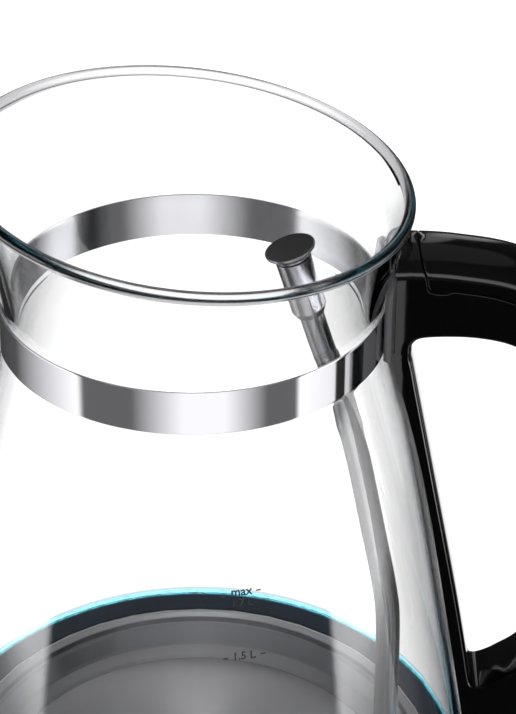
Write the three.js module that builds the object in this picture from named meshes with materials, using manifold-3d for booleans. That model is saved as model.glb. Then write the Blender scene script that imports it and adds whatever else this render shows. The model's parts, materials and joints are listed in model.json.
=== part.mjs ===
// Cordless glass water kettle standing on its power base.
// Millimetres, +Z up. The origin is on the table under the middle of the bounding box.
// The handle is at +X, the pouring lip at -X, and the kettle mirrors across the plane Y = 0.

import * as THREE from 'three';
import { mergeVertices } from 'three/addons/utils/BufferGeometryUtils.js';
import Module from 'manifold-3d';

const wasm = await Module();
wasm.setup();

// ---------------------------------------------------------------- driving dimensions
const GAP = 0.35;                  // clearance between pieces that touch
const AXIS_X = -22.2;              // jug axis, so that the whole kettle is centred on the origin

const BASE_RADIUS = 80;            // power base
const BASE_BOTTOM = 1.6;           // underside of the base, above the table
const BASE_TOP = 18;
const SHELL_WALL = 2.2;
const ROUND = 40;                  // facets round the large turned pieces
const SMALL_ROUND = 20;            // facets round the small ones

const JUG_BOTTOM = 19.2;           // underside of the jug, standing on its base
const RING_Z = 54;                 // foot of the clear glass, where the glowing ring sits
const HOUSING_RADIUS = 82.5;       // housing below the glass

const GLASS_FOOT_RADIUS = 79.4;    // outside of the glass at RING_Z
const GLASS_WALL = 2.5;
const GLASS_HEIGHT = 157.4;        // from RING_Z to the top of the neck band
const BAND_TOP = RING_Z + GLASS_HEIGHT;
const NECK_RADIUS = 51.25;         // outside of the glass under the band
const BEAD_RADIUS = 1.55;          // rounded edge of the mouth

const BAND_RADIUS = 52;            // steel band round the neck
const BAND_HEIGHT = 12.6;
const BAND_SHEET = 0.45;

const HANDLE_WIDTH = 19.4;
const HANDLE_EDGE = 2.6;           // rounding of the handle's long edges
const COVER_DEPTH = 10.6;          // depth of the cover on the back of the handle
const HANDLE_WALL = 2.6;

const TUBE_RADIUS = 3.4;           // steam tube
const SLEEVE_RADIUS = 4.9;
const CAP_RADIUS = 6.6;

const PLATE_RADIUS = 68.6;         // stepped heater plate
const PLATE_SHEET = 1.2;
const PLATE_FLOOR = RING_Z - 10;

const BOSS_RADIUS = 18.5;          // raised round connector of the power base
const BOSS_TOP = 28.5;

const HANDLE_FOOT = 26;            // lower end of the handle, beside the housing
const LEVER_PIN = { x: 89.5, z: 35.5, radius: 1.5 };

// ---------------------------------------------------------------- materials
const finish = (color, roughness, metalness, extra = {}) =>
  new THREE.MeshStandardMaterial({ color, roughness, metalness, ...extra });
const GLASS = finish('#eef4f5', 0.05, 0, { transparent: true, opacity: 0.35 });
const STEEL = finish('#b9bbc0', 0.3, 1);
const BRUSHED = finish('#a7a9ad', 0.4, 1);
const BLACK_GLOSS = finish('#0b0b0c', 0.15, 0);
const BLACK_MATTE = finish('#161617', 0.6, 0);
const RUBBER = finish('#1d1d1e', 0.85, 0);
const SILICONE = finish('#d9dcdc', 0.6, 0);
const GLOW = finish('#2fa8dc', 0.3, 0);
const BOARD = finish('#1f5c38', 0.5, 0);
const WHITE_PLASTIC = finish('#e4e2dc', 0.5, 0);
const BRASS = finish('#b9903f', 0.35, 1);
const ALUMINIUM = finish('#c3c5c7', 0.45, 1);

// ---------------------------------------------------------------- solids
const DEGREE = Math.PI / 180;

function toSolid(geometry) {
  if (!geometry.isBufferGeometry) return geometry;
  const bare = geometry.clone();
  bare.deleteAttribute('normal');
  bare.deleteAttribute('uv');
  const merged = mergeVertices(bare, 1e-4);
  const index = merged.index.array;
  const kept = [];
  for (let i = 0; i < index.length; i += 3) {
    const [a, b, c] = [index[i], index[i + 1], index[i + 2]];
    if (a !== b && b !== c && c !== a) kept.push(a, b, c);
  }
  const build = (triVerts) => new wasm.Manifold(new wasm.Mesh({
    numProp: 3,
    vertProperties: Float32Array.from(merged.attributes.position.array),
    triVerts: Uint32Array.from(triVerts),
  }));
  const solid = build(kept);
  return solid.volume() > 0 ? solid : build(kept.reverse());
}

function toGeometry(solid) {
  const { vertProperties, triVerts } = toSolid(solid).getMesh();
  const geometry = new THREE.BufferGeometry();
  geometry.setAttribute('position', new THREE.BufferAttribute(vertProperties, 3));
  geometry.setIndex(new THREE.BufferAttribute(triVerts, 1));
  geometry.computeVertexNormals();
  return geometry;
}

const join = (...solids) => solids.map(toSolid).reduce((sum, next) => sum.add(next));
const cut = (solid, ...tools) => tools.map(toSolid).reduce((rest, tool) => rest.subtract(tool), toSolid(solid));
const common = (a, b) => toSolid(a).intersect(toSolid(b));

// Solid of revolution round +Z from a closed outline of [radius, height] points.
function turned(outline, segments = ROUND) {
  const points = outline.map(([radius, height]) => new THREE.Vector2(radius, height));
  const open = outline[0][0] > 0 || outline.at(-1)[0] > 0;
  if (open) points.push(points[0].clone());
  return new THREE.LatheGeometry(points, segments).rotateX(Math.PI / 2);
}

// Washer, sleeve or disc between two heights.
const ring = (inner, outer, low, high, segments = ROUND) => inner > 0
  ? turned([[inner, low], [outer, low], [outer, high], [inner, high]], segments)
  : turned([[0, low], [outer, low], [outer, high], [0, high]], segments);

const box = (x0, x1, y0, y1, z0, z1) => new THREE.BoxGeometry(x1 - x0, y1 - y0, z1 - z0)
  .translate((x0 + x1) / 2, (y0 + y1) / 2, (z0 + z1) / 2);

const pinAlongY = (x, z, radius, halfLength, segments = 12) =>
  new THREE.CylinderGeometry(radius, radius, 2 * halfLength, segments).translate(x, 0, z);

// Prism with an outline in the XZ plane, centred on Y = 0, with rounded long edges.
function prism(outline, width, edge = 0) {
  const shape = new THREE.Shape(outline.map(([x, z]) => new THREE.Vector2(x, z)));
  const geometry = new THREE.ExtrudeGeometry(shape, {
    depth: width - 2 * edge,
    bevelEnabled: edge > 0,
    bevelThickness: edge,
    bevelSize: edge,
    bevelOffset: -edge,
    bevelSegments: 2,
    curveSegments: 1,
  });
  return geometry.translate(0, 0, edge - width / 2).rotateX(Math.PI / 2);
}

// Smooth open curve through [x, z] points, as a list of points.
const smooth = (points, steps) =>
  new THREE.SplineCurve(points.map(([x, z]) => new THREE.Vector2(x, z)))
    .getSpacedPoints(steps).map((point) => [point.x, point.y]);

// Round rod along a path of [x, y, z] points.
function rod(points, radius, steps, sides = 12) {
  const section = new THREE.Shape();
  for (let i = 0; i < sides; i += 1) {
    const angle = (2 * Math.PI * i) / sides;
    const [x, y] = [radius * Math.cos(angle), radius * Math.sin(angle)];
    if (i === 0) section.moveTo(x, y);
    else section.lineTo(x, y);
  }
  const path = new THREE.CatmullRomCurve3(points.map((point) => new THREE.Vector3(...point)));
  return new THREE.ExtrudeGeometry(section, { steps, extrudePath: path, curveSegments: 1 });
}

function piece(name, material, shape) {
  const mesh = new THREE.Mesh(toGeometry(shape), material);
  mesh.name = name;
  return mesh;
}

// Screw standing on Z = 0 with its shank upwards and a driver slot in its head.
function screw(headRadius, headHeight, shankRadius, length) {
  const body = turned([[0, 0], [headRadius, 0], [headRadius, headHeight], [shankRadius, headHeight],
    [shankRadius, length - shankRadius], [0, length]], 10);
  return cut(body, box(-headRadius * 2, headRadius * 2, -0.4, 0.4, -1, headHeight * 0.5));
}

// ---------------------------------------------------------------- glass
// Centre of the mouth's bead at an angle from the handle: the mouth slants up to the pouring lip.
function mouth(angle) {
  const fromLip = Math.abs(Math.PI - angle) / (16 * DEGREE);
  const lip = Math.exp(-(fromLip ** 2));
  return {
    radius: 59.2 - 1.5 * Math.cos(angle) - Math.cos(2 * angle) + 4.5 * lip,
    height: BAND_TOP + 32.8 - 6.4 * Math.cos(angle) + lip,
  };
}

// Outside of the wall from its foot to just under the band, bottom first.
const wallCurve = smooth([
  [GLASS_FOOT_RADIUS, RING_Z],
  [71.6, BAND_TOP - 108],
  [63.3, BAND_TOP - 59],
  [56.3, BAND_TOP - 29],
  [NECK_RADIUS + 0.1, BAND_TOP - BAND_HEIGHT - 0.8],
], 7);

// Closed outline of the glass at one angle, grown outwards by an allowance.
function glassOutline(angle, grow = 0) {
  const rim = mouth(angle);
  const outer = wallCurve.map(([radius, height]) => [radius + grow, height]);
  outer.unshift([GLASS_FOOT_RADIUS + grow, RING_Z - 7]);
  outer.push([NECK_RADIUS + grow, BAND_TOP - 1]);
  const rise = 5;
  for (let i = 1; i <= rise; i += 1) {
    const t = i / (rise + 0.6);
    const flare = rim.radius + 0.9 - NECK_RADIUS;
    outer.push([NECK_RADIUS + flare * t ** 1.35 + grow, BAND_TOP + (rim.height - BAND_TOP) * t]);
  }
  const inner = outer.map(([radius, height]) => [radius - GLASS_WALL - grow, height]).reverse();
  const bead = [-30, 20, 70, 110, 160, 210].map((turn) => [
    rim.radius + (BEAD_RADIUS + grow) * Math.cos(turn * DEGREE),
    rim.height + (BEAD_RADIUS + grow) * Math.sin(turn * DEGREE),
  ]);
  return [...outer, ...bead, ...inner];
}

// Solid whose outline changes with the angle round +Z.
function swept(outlineAt, segments) {
  const positions = [];
  const index = [];
  const count = outlineAt(0).length;
  for (let i = 0; i < segments; i += 1) {
    const angle = (2 * Math.PI * i) / segments;
    for (const [radius, height] of outlineAt(angle)) {
      positions.push(radius * Math.cos(angle), radius * Math.sin(angle), height);
    }
  }
  for (let i = 0; i < segments; i += 1) {
    for (let j = 0; j < count; j += 1) {
      const [here, next] = [i * count, ((i + 1) % segments) * count];
      const above = (j + 1) % count;
      index.push(here + j, next + j, next + above, here + j, next + above, here + above);
    }
  }
  const geometry = new THREE.BufferGeometry();
  geometry.setAttribute('position', new THREE.Float32BufferAttribute(positions, 3));
  geometry.setIndex(index);
  return geometry;
}

// Everything inside the glass's outer surface, grown by an allowance, for cutting what hugs it.
function glassCore(grow) {
  const outline = glassOutline(0, grow);
  const outer = outline.slice(0, wallCurve.length + 8);
  return turned([[0, RING_Z - 7], ...outer, [0, outer.at(-1)[1]]]);
}

function glassParts() {
  const band = ring(BAND_RADIUS - BAND_SHEET, BAND_RADIUS, BAND_TOP - BAND_HEIGHT, BAND_TOP);
  return [
    piece('glass_jug', GLASS, swept(glassOutline, ROUND)),
    piece('neck_band', STEEL, band),
  ];
}

// ---------------------------------------------------------------- handle
// Back of the handle from the neck, over the top and down to the housing.
const handleBack = smooth([
  [48, BAND_TOP + 15.2],
  [58, BAND_TOP + 16],
  [70, BAND_TOP + 15.2],
  [86, BAND_TOP + 11.8],
  [104.2, BAND_TOP + 2],
  [117.8, BAND_TOP - 15.4],
  [125.5, BAND_TOP - 40],
  [126.6, BAND_TOP - 62],
  [122, BAND_TOP - 88],
  [112, BAND_TOP - 112],
  [102, BAND_TOP - 132],
  [97.5, BAND_TOP - 152],
  [96, BAND_TOP - 170],
  [95.5, HANDLE_FOOT],
], 34);

// Opening for the fingers, clockwise from its upper corner at the glass.
const fingerGap = [
  ...smooth([[58.4, BAND_TOP - 16], [58.9, BAND_TOP - 12], [62.5, BAND_TOP - 10.4],
    [75, BAND_TOP - 10.5], [86, BAND_TOP - 13.4], [96, BAND_TOP - 21], [102.6, BAND_TOP - 36],
    [104.2, BAND_TOP - 58], [103.4, BAND_TOP - 76], [100.6, BAND_TOP - 94],
    [96.8, BAND_TOP - 109.5], [92, BAND_TOP - 119.2], [86.4, BAND_TOP - 123.9],
    [80.6, BAND_TOP - 127.2]], 28),
  ...smooth([[78.6, BAND_TOP - 126.2], [73.8, BAND_TOP - 96], [65.4, BAND_TOP - 52]], 5),
];

// Curve moved sideways by a distance, to its right when walked from start to end.
function offset(curve, distance) {
  return curve.map(([x, z], i) => {
    const [ax, az] = curve[Math.max(i - 1, 0)];
    const [bx, bz] = curve[Math.min(i + 1, curve.length - 1)];
    const length = Math.hypot(bx - ax, bz - az);
    return [x + (distance * (bz - az)) / length, z - (distance * (bx - ax)) / length];
  });
}

const SADDLE = 2;                  // outside of the pad between the neck and the handle
const COVER_START = 61.8;          // seam between the root of the handle and its cover
const COVER_END = BAND_TOP - 128;  // lower end of the cover

function handleParts() {
  const outline = [...handleBack, [76, HANDLE_FOOT], [66, BAND_TOP - 110], [46, BAND_TOP - 40]];
  const whole = cut(prism(outline, HANDLE_WIDTH, HANDLE_EDGE), prism(fingerGap, HANDLE_WIDTH + 2));

  const coverZone = (shrink) => {
    const inner = offset(handleBack, COVER_DEPTH - shrink).filter(([x, z]) =>
      x > COVER_START + shrink && z > COVER_END + shrink);
    const outer = offset(handleBack, -6);
    const end = outer.findIndex(([x, z]) => x > 90 && z < COVER_END + shrink);
    const kept = outer.slice(0, end).filter(([x]) => x > COVER_START + shrink);
    const first = [COVER_START + shrink, BAND_TOP + 30];
    return prism([first, ...kept, [kept.at(-1)[0], COVER_END + shrink],
      [inner.at(-1)[0], COVER_END + shrink], ...inner.reverse(), [COVER_START + shrink, inner.at(-1)[1]]],
    HANDLE_WIDTH + 4);
  };

  // Long trough inside the grip, open towards the cover.
  const troughWidth = HANDLE_WIDTH - 2 * HANDLE_WALL;
  const run = handleBack.filter(([x, z]) => x > COVER_START + 8 && z > COVER_END + 10);
  const trough = prism([...offset(run, COVER_DEPTH - 4), ...offset(run, COVER_DEPTH + 2).reverse()],
    troughWidth);
  const coverHollow = prism([...offset(run, HANDLE_WALL), ...offset(run, COVER_DEPTH + 3).reverse()],
    troughWidth);

  const housingRoom = ring(0, HOUSING_RADIUS + GAP, HANDLE_FOOT - 10, RING_Z + 1.2);
  const saddleRoom = common(neckCore(SADDLE + GAP), box(40, 90, -20, 20, BAND_TOP - 18, BAND_TOP + 40));
  const leverSlot = join(box(84.5, 120, -6.5, 6.5, HANDLE_FOOT - 5, 46),
    box(80, 86, -3.2, 3.2, LEVER_PIN.z - 4.5, LEVER_PIN.z + 6));
  const leverPin = pinAlongY(LEVER_PIN.x, LEVER_PIN.z, LEVER_PIN.radius + 0.3, 8.2);

  const upperScrewBore = screwBore(UPPER_SCREW);
  const lowerScrewBore = screwBore(LOWER_SCREW);
  const body = cut(whole, coverZone(-GAP), trough, glassCore(0.8), housingRoom, saddleRoom, leverSlot,
    leverPin, upperScrewBore, lowerScrewBore);
  const cover = cut(common(whole, coverZone(0)), coverHollow);

  const saddle = saddleSolid();
  return [
    piece('handle_body', BLACK_GLOSS, body),
    piece('handle_cover', BLACK_GLOSS, cover),
    piece('neck_saddle', BLACK_MATTE, saddle),
    piece('handle_screw_upper', STEEL, placedScrew(UPPER_SCREW)),
    piece('handle_screw_lower', STEEL, placedScrew(LOWER_SCREW)),
    piece('lever_pin', STEEL, pinAlongY(LEVER_PIN.x, LEVER_PIN.z, LEVER_PIN.radius, 7.9)),
  ];
}

// Screws that hold the handle run towards the jug axis: the head is at x, at height z.
const UPPER_SCREW = { x: 68, z: BAND_TOP - 4.5, length: 15.2, head: 3, shank: 1.6 };
const LOWER_SCREW = { x: 92.5, z: RING_Z - 3.4, length: 11.9, head: 3, shank: 1.6 };

function placedScrew({ x, z, length, head, shank }) {
  return toSolid(toGeometry(screw(head, 2, shank, length)).rotateY(-Math.PI / 2).translate(x, 0, z));
}

// Stepped hole for a screw, open behind its head.
function screwBore({ x, z, length, head, shank }) {
  const along = (radius, from, to) => new THREE.CylinderGeometry(radius, radius, to - from, 10)
    .rotateZ(Math.PI / 2).translate((from + to) / 2, 0, z);
  return join(along(head + GAP, x - 2 - GAP, x + 40), along(shank + GAP, x - length - 0.5, x - 1));
}

// Pad between the neck and the root of the handle, with rounded upper corners.
function saddleSolid() {
  const half = 15.4;
  const [low, high, corner] = [BAND_TOP - BAND_HEIGHT - 1.5, BAND_TOP + 8.6, 4];
  const shape = new THREE.Shape();
  shape.moveTo(-half, low);
  shape.lineTo(half, low);
  shape.lineTo(half, high - corner);
  shape.absarc(half - corner, high - corner, corner, 0, Math.PI / 2, false);
  shape.lineTo(corner - half, high);
  shape.absarc(corner - half, high - corner, corner, Math.PI / 2, Math.PI, false);
  const slab = new THREE.ExtrudeGeometry(shape, { depth: 30, bevelEnabled: false, curveSegments: 4 })
    .rotateX(Math.PI / 2).rotateZ(Math.PI / 2).translate(35, 0, 0);
  const shell = cut(neckCore(SADDLE), neckCore(GAP));
  return cut(common(slab, shell), screwBore(UPPER_SCREW));
}

// Core of the neck and band, grown by an allowance.
const neckCore = (grow) => join(glassCore(grow),
  ring(0, BAND_RADIUS + grow, BAND_TOP - BAND_HEIGHT - grow, BAND_TOP + grow));

// ---------------------------------------------------------------- steam tube
const TUBE_X = 54.8;               // where the tube stands on the heater plate
const SLEEVE_END = [31.8, BAND_TOP - 8];
const CAP_CENTRE = [25.8, BAND_TOP + 11.5];

function steamParts() {
  const lean = Math.atan2(CAP_CENTRE[0] - SLEEVE_END[0], CAP_CENTRE[1] - SLEEVE_END[1]);
  const sleeveLength = Math.hypot(CAP_CENTRE[0] - SLEEVE_END[0], CAP_CENTRE[1] - SLEEVE_END[1]);
  const tilt = (shape) => shape.rotateY(lean).translate(SLEEVE_END[0], 0, SLEEVE_END[1]);
  const capTop = sleeveLength;
  const cap = turned([[0, capTop - 3], [SLEEVE_RADIUS, capTop - 3], [SLEEVE_RADIUS, capTop - 2.2],
    [CAP_RADIUS - 0.2, capTop - 0.8], [CAP_RADIUS, capTop], [0, capTop]], SMALL_ROUND);
  const sleeve = turned([[TUBE_RADIUS + 0.3, 0], [SLEEVE_RADIUS - 0.6, 0], [SLEEVE_RADIUS, 1.4],
    [SLEEVE_RADIUS, capTop - 3.3], [TUBE_RADIUS + 0.3, capTop - 3.3]], SMALL_ROUND);
  const tube = rod([
    [27.9, 0, BAND_TOP + 4.5],
    [SLEEVE_END[0], 0, SLEEVE_END[1]],
    [36.6, 0, BAND_TOP - 23],
    [41.2, 0, BAND_TOP - 38],
    [44.6, 0, BAND_TOP - 52],
    [49.6, 0, BAND_TOP - 77],
    [53.4, 0, BAND_TOP - 97],
    [TUBE_X, 0, BAND_TOP - 112],
    [TUBE_X, 0, PLATE_FLOOR + 20],
    [TUBE_X, 0, PLATE_FLOOR - 8],
  ], TUBE_RADIUS, 26, 10);
  const bore = rod([[TUBE_X, 0, PLATE_FLOOR + 10], [TUBE_X, 0, PLATE_FLOOR - 12]], TUBE_RADIUS - 0.7, 2);
  const grommet = turned([[TUBE_RADIUS + 0.3, -2.4], [5.4, -2.4], [5.4, -0.3], [4.6, -0.3],
    [4.6, PLATE_SHEET + 0.3], [5.8, PLATE_SHEET + 0.3], [4.8, 4.4], [TUBE_RADIUS + 0.3, 4.4]], SMALL_ROUND);
  return [
    piece('steam_tube', STEEL, cut(tube, bore)),
    piece('tube_sleeve', STEEL, tilt(sleeve)),
    piece('steam_cap', STEEL, tilt(cap)),
    piece('tube_grommet', SILICONE, grommet.translate(TUBE_X, 0, plateHeight(TUBE_X) - PLATE_SHEET)),
  ];
}

// ---------------------------------------------------------------- heater
// Upper face of the stepped heater plate, centre first.
const plateSteps = [
  [0, PLATE_FLOOR],
  [44, PLATE_FLOOR],
  [46, PLATE_FLOOR + 2.4],
  [61, PLATE_FLOOR + 2.4],
  [64.5, RING_Z - 1.2],
  [PLATE_RADIUS, RING_Z - 0.4],
];

// Height of the plate's upper face at a radius.
function plateHeight(radius) {
  const next = plateSteps.findIndex(([r]) => r >= radius);
  const [[r0, z0], [r1, z1]] = [plateSteps[next - 1], plateSteps[next]];
  return z0 + ((z1 - z0) * (radius - r0)) / (r1 - r0);
}

function heaterParts() {
  const under = plateSteps.map(([radius, height]) => [radius, height - PLATE_SHEET]).reverse();
  const tubeHole = ring(0, 4.6 + GAP, 30, 60, SMALL_ROUND).translate(TUBE_X, 0, 0);
  const plate = cut(turned([...plateSteps, ...under]), tubeHole);
  const underFloor = PLATE_FLOOR - PLATE_SHEET;
  const spreader = ring(13, 43, underFloor - GAP - 2.6, underFloor - GAP);
  const elementTop = underFloor - 2 * GAP - 2.6;
  const elementRadius = 3.2;
  const elementZ = elementTop - elementRadius;
  const bend = [];
  for (let angle = 25; angle <= 335; angle += 31) {
    bend.push([37 * Math.cos(angle * DEGREE), 37 * Math.sin(angle * DEGREE), elementZ]);
  }
  const element = rod(bend, elementRadius, 24, 8);
  const disc = turned([[0, underFloor - 1.9], [11, underFloor - 1.4], [11, underFloor - 0.9],
    [0, underFloor - 1.4]], SMALL_ROUND);
  const seal = turned([[PLATE_RADIUS - 3.6, RING_Z - 5.5], [PLATE_RADIUS + 0.5, RING_Z - 5.5],
    [PLATE_RADIUS + 0.5, RING_Z - 0.2], [PLATE_RADIUS + GAP, RING_Z - 0.2],
    [PLATE_RADIUS + GAP, RING_Z - 2.2], [PLATE_RADIUS - 3.6, RING_Z - 3.4]]);
  return [
    piece('heater_plate', BRUSHED, plate),
    piece('plate_seal', SILICONE, seal),
    piece('heat_spreader', ALUMINIUM, spreader),
    piece('heating_element', STEEL, element),
    piece('dry_boil_disc', BRASS, disc),
  ];
}

// ---------------------------------------------------------------- light
function lightParts() {
  const inner = PLATE_RADIUS + 0.9;
  const outer = GLASS_FOOT_RADIUS - GLASS_WALL - GAP;
  const guide = turned([[inner, RING_Z - 3.6], [outer, RING_Z - 3.6], [outer, RING_Z + 0.3],
    [outer - 1, RING_Z + 0.6], [inner, RING_Z - 0.3]]);
  const board = ring(inner, outer, RING_Z - 5.5, RING_Z - 3.9);
  return [
    piece('light_ring', GLOW, guide),
    piece('led_board', BOARD, board),
  ];
}

// ---------------------------------------------------------------- jug housing
const COVER_TOP = JUG_BOTTOM + 2.4;
const coverScrewPlaces = [45, 135, 225, 315].map((angle) => angle * DEGREE);
const COVER_SCREW_RADIUS = 66;

function housingParts() {
  const skin = HOUSING_RADIUS - SHELL_WALL;
  const shelf = RING_Z - 9.2;
  const seat = GLASS_FOOT_RADIUS + GAP;
  const shell = turned([
    [HOUSING_RADIUS - 3, JUG_BOTTOM + 0.6], [HOUSING_RADIUS - 0.8, JUG_BOTTOM + 1.6],
    [HOUSING_RADIUS, JUG_BOTTOM + 8], [HOUSING_RADIUS, RING_Z - 1], [HOUSING_RADIUS - 0.8, RING_Z + 0.6],
    [seat, RING_Z + 0.6], [seat, shelf], [PLATE_RADIUS - 3.4, shelf], [PLATE_RADIUS - 3.4, shelf - 2.4],
    [skin - 2, shelf - 2.4], [skin - 0.4, shelf - 6], [HOUSING_RADIUS - 3, JUG_BOTTOM + 6],
  ]);
  const slotForLever = box(70, 90, -3.4, 3.4, LEVER_PIN.z - 4.5, LEVER_PIN.z + 6);
  const gasket = ring(GLASS_FOOT_RADIUS - GLASS_WALL - 0.3, GLASS_FOOT_RADIUS, shelf + GAP,
    RING_Z - 7 - GAP);
  const bosses = coverScrewPlaces.map((angle) => ring(2.1, 4.2, COVER_TOP + GAP, shelf - 2, 10)
    .translate(COVER_SCREW_RADIUS * Math.cos(angle), COVER_SCREW_RADIUS * Math.sin(angle), 0));
  const ribs = coverScrewPlaces.map((angle) => box(3.8, 14.6, -1.1, 1.1, COVER_TOP + 4, shelf - 1)
    .rotateZ(angle).translate(COVER_SCREW_RADIUS * Math.cos(angle),
      COVER_SCREW_RADIUS * Math.sin(angle), 0));
  const screwDrop = coverScrewPlaces.map((angle) => ring(0, 2.1, 0, shelf - 2.5, 10)
    .translate(COVER_SCREW_RADIUS * Math.cos(angle), COVER_SCREW_RADIUS * Math.sin(angle), 0));
  const housing = cut(join(shell, ...bosses, ...ribs), ...screwDrop, slotForLever,
    screwBore(LOWER_SCREW));

  const opening = 26.5;
  const floor = ring(opening, HOUSING_RADIUS - 3 - GAP, JUG_BOTTOM, COVER_TOP);
  const lip = ring(HOUSING_RADIUS - 6, HOUSING_RADIUS - 3 - GAP, JUG_BOTTOM, COVER_TOP + 3);
  const holes = coverScrewPlaces.map((angle) => join(ring(0, 1.9, 0, 40, 10),
    ring(0, 3.6, 0, JUG_BOTTOM + 1.7, 10))
    .translate([COVER_SCREW_RADIUS * Math.cos(angle), COVER_SCREW_RADIUS * Math.sin(angle), 0]));
  const cover = cut(join(floor, lip), ...holes);
  const screws = coverScrewPlaces.map((angle, i) => {
    const geometry = toGeometry(screw(3.2, 1.2, 1.5, 12)).translate(
      COVER_SCREW_RADIUS * Math.cos(angle), COVER_SCREW_RADIUS * Math.sin(angle), JUG_BOTTOM + 0.1);
    return piece(`cover_screw_${i + 1}`, STEEL, geometry);
  });
  return [
    piece('jug_housing', BLACK_GLOSS, housing),
    piece('glass_gasket', SILICONE, gasket),
    piece('bottom_cover', BLACK_MATTE, cover),
    ...screws,
  ];
}

// ---------------------------------------------------------------- control and connector
const RING_RADII = { line: 13, neutral: 8 };   // contact rings of the connector
const ROOF = BOSS_TOP + 1.6;                   // inside of the jug's connector socket
const BLADE_LOW = ROOF - 7;                    // lower edge of the contact rings
const PIN_LOW = ROOF - 9;                      // tip of the earth pin

function connectorParts() {
  const socketOuter = 25.6;
  const socketInner = BOSS_RADIUS + 1.4;
  const socket = cut(ring(0, socketOuter, JUG_BOTTOM + 0.4, ROOF + 2.6),
    ring(0, socketInner, 0, ROOF));
  const flange = ring(socketOuter - 1, 31, COVER_TOP + GAP, COVER_TOP + GAP + 2);
  const contactHoles = Object.values(RING_RADII).map((radius) =>
    ring(radius - 0.75, radius + 0.75, ROOF - 1, ROOF + 1.6, SMALL_ROUND));
  const pinHole = ring(0, 2.6, ROOF - 1, ROOF + 1.6, SMALL_ROUND);
  const housing = cut(join(socket, flange), ...contactHoles, pinHole);
  const blade = (radius) => ring(radius - 0.4, radius + 0.4, BLADE_LOW, ROOF + 1.2, SMALL_ROUND);
  const pin = turned([[0, PIN_LOW], [1.4, PIN_LOW + 0.6], [2.2, PIN_LOW + 2.5], [2.2, ROOF + 1.2],
    [0, ROOF + 1.2]], SMALL_ROUND);
  const controlLow = ROOF + 2.6 + GAP;
  const controlTop = PLATE_FLOOR - PLATE_SHEET - 2 * GAP - 2.6 - GAP;
  const control = join(ring(0, 24, controlLow, controlTop - 1.5, 32),
    box(-29, 29, -9, 9, controlLow, controlTop), box(-9, 9, -29, 29, controlLow, controlTop - 2));
  const switchBox = box(48.5, 61.5, -9, 9, COVER_TOP + 1, COVER_TOP + 11);
  const steamDisc = turned([[0, COVER_TOP + 11.9], [5, COVER_TOP + 11.4], [5, COVER_TOP + 11.9],
    [0, COVER_TOP + 12.4]], SMALL_ROUND).translate(TUBE_X, 0, 0);
  return [
    piece('jug_connector', BLACK_MATTE, housing),
    piece('line_ring', BRASS, blade(RING_RADII.line)),
    piece('neutral_ring', BRASS, blade(RING_RADII.neutral)),
    piece('earth_pin', BRASS, pin),
    piece('control_unit', WHITE_PLASTIC, control),
    piece('steam_switch', WHITE_PLASTIC, switchBox),
    piece('steam_disc', BRASS, steamDisc),
  ];
}

// ---------------------------------------------------------------- switch lever
function leverParts() {
  const { x, z, radius } = LEVER_PIN;
  const paddle = prism([[x - 3.4, z - 3.2], [x + 6, z - 5.2], [x + 20, z - 8.4], [x + 22.5, z - 7.6],
    [x + 22.6, z - 6], [x + 12, z - 1.2], [x + 3, z + 3.2], [x - 2, z + 3.2], [x - 3.4, z + 1.6]],
  12.2, 1.1);
  const arm = box(x - 26.5, x - 2, -2.2, 2.2, z - 1.2, z + 2.4);
  const lever = cut(join(paddle, arm), pinAlongY(x, z, radius + 0.3, 10));
  return [piece('switch_lever', BLACK_GLOSS, lever)];
}

// ---------------------------------------------------------------- power base
const FOOT_CENTRE_RADIUS = 62;
const footPlaces = [45, 135, 225, 315].map((angle) => angle * DEGREE);
const baseScrewPlaces = [0, 120, 240].map((angle) => angle * DEGREE);
const BASE_SCREW_RADIUS = 50;
const GLAND_Z = 8.4;               // height of the cord outlet

const around = (radius, angle) => [radius * Math.cos(angle), radius * Math.sin(angle), 0];

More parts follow.
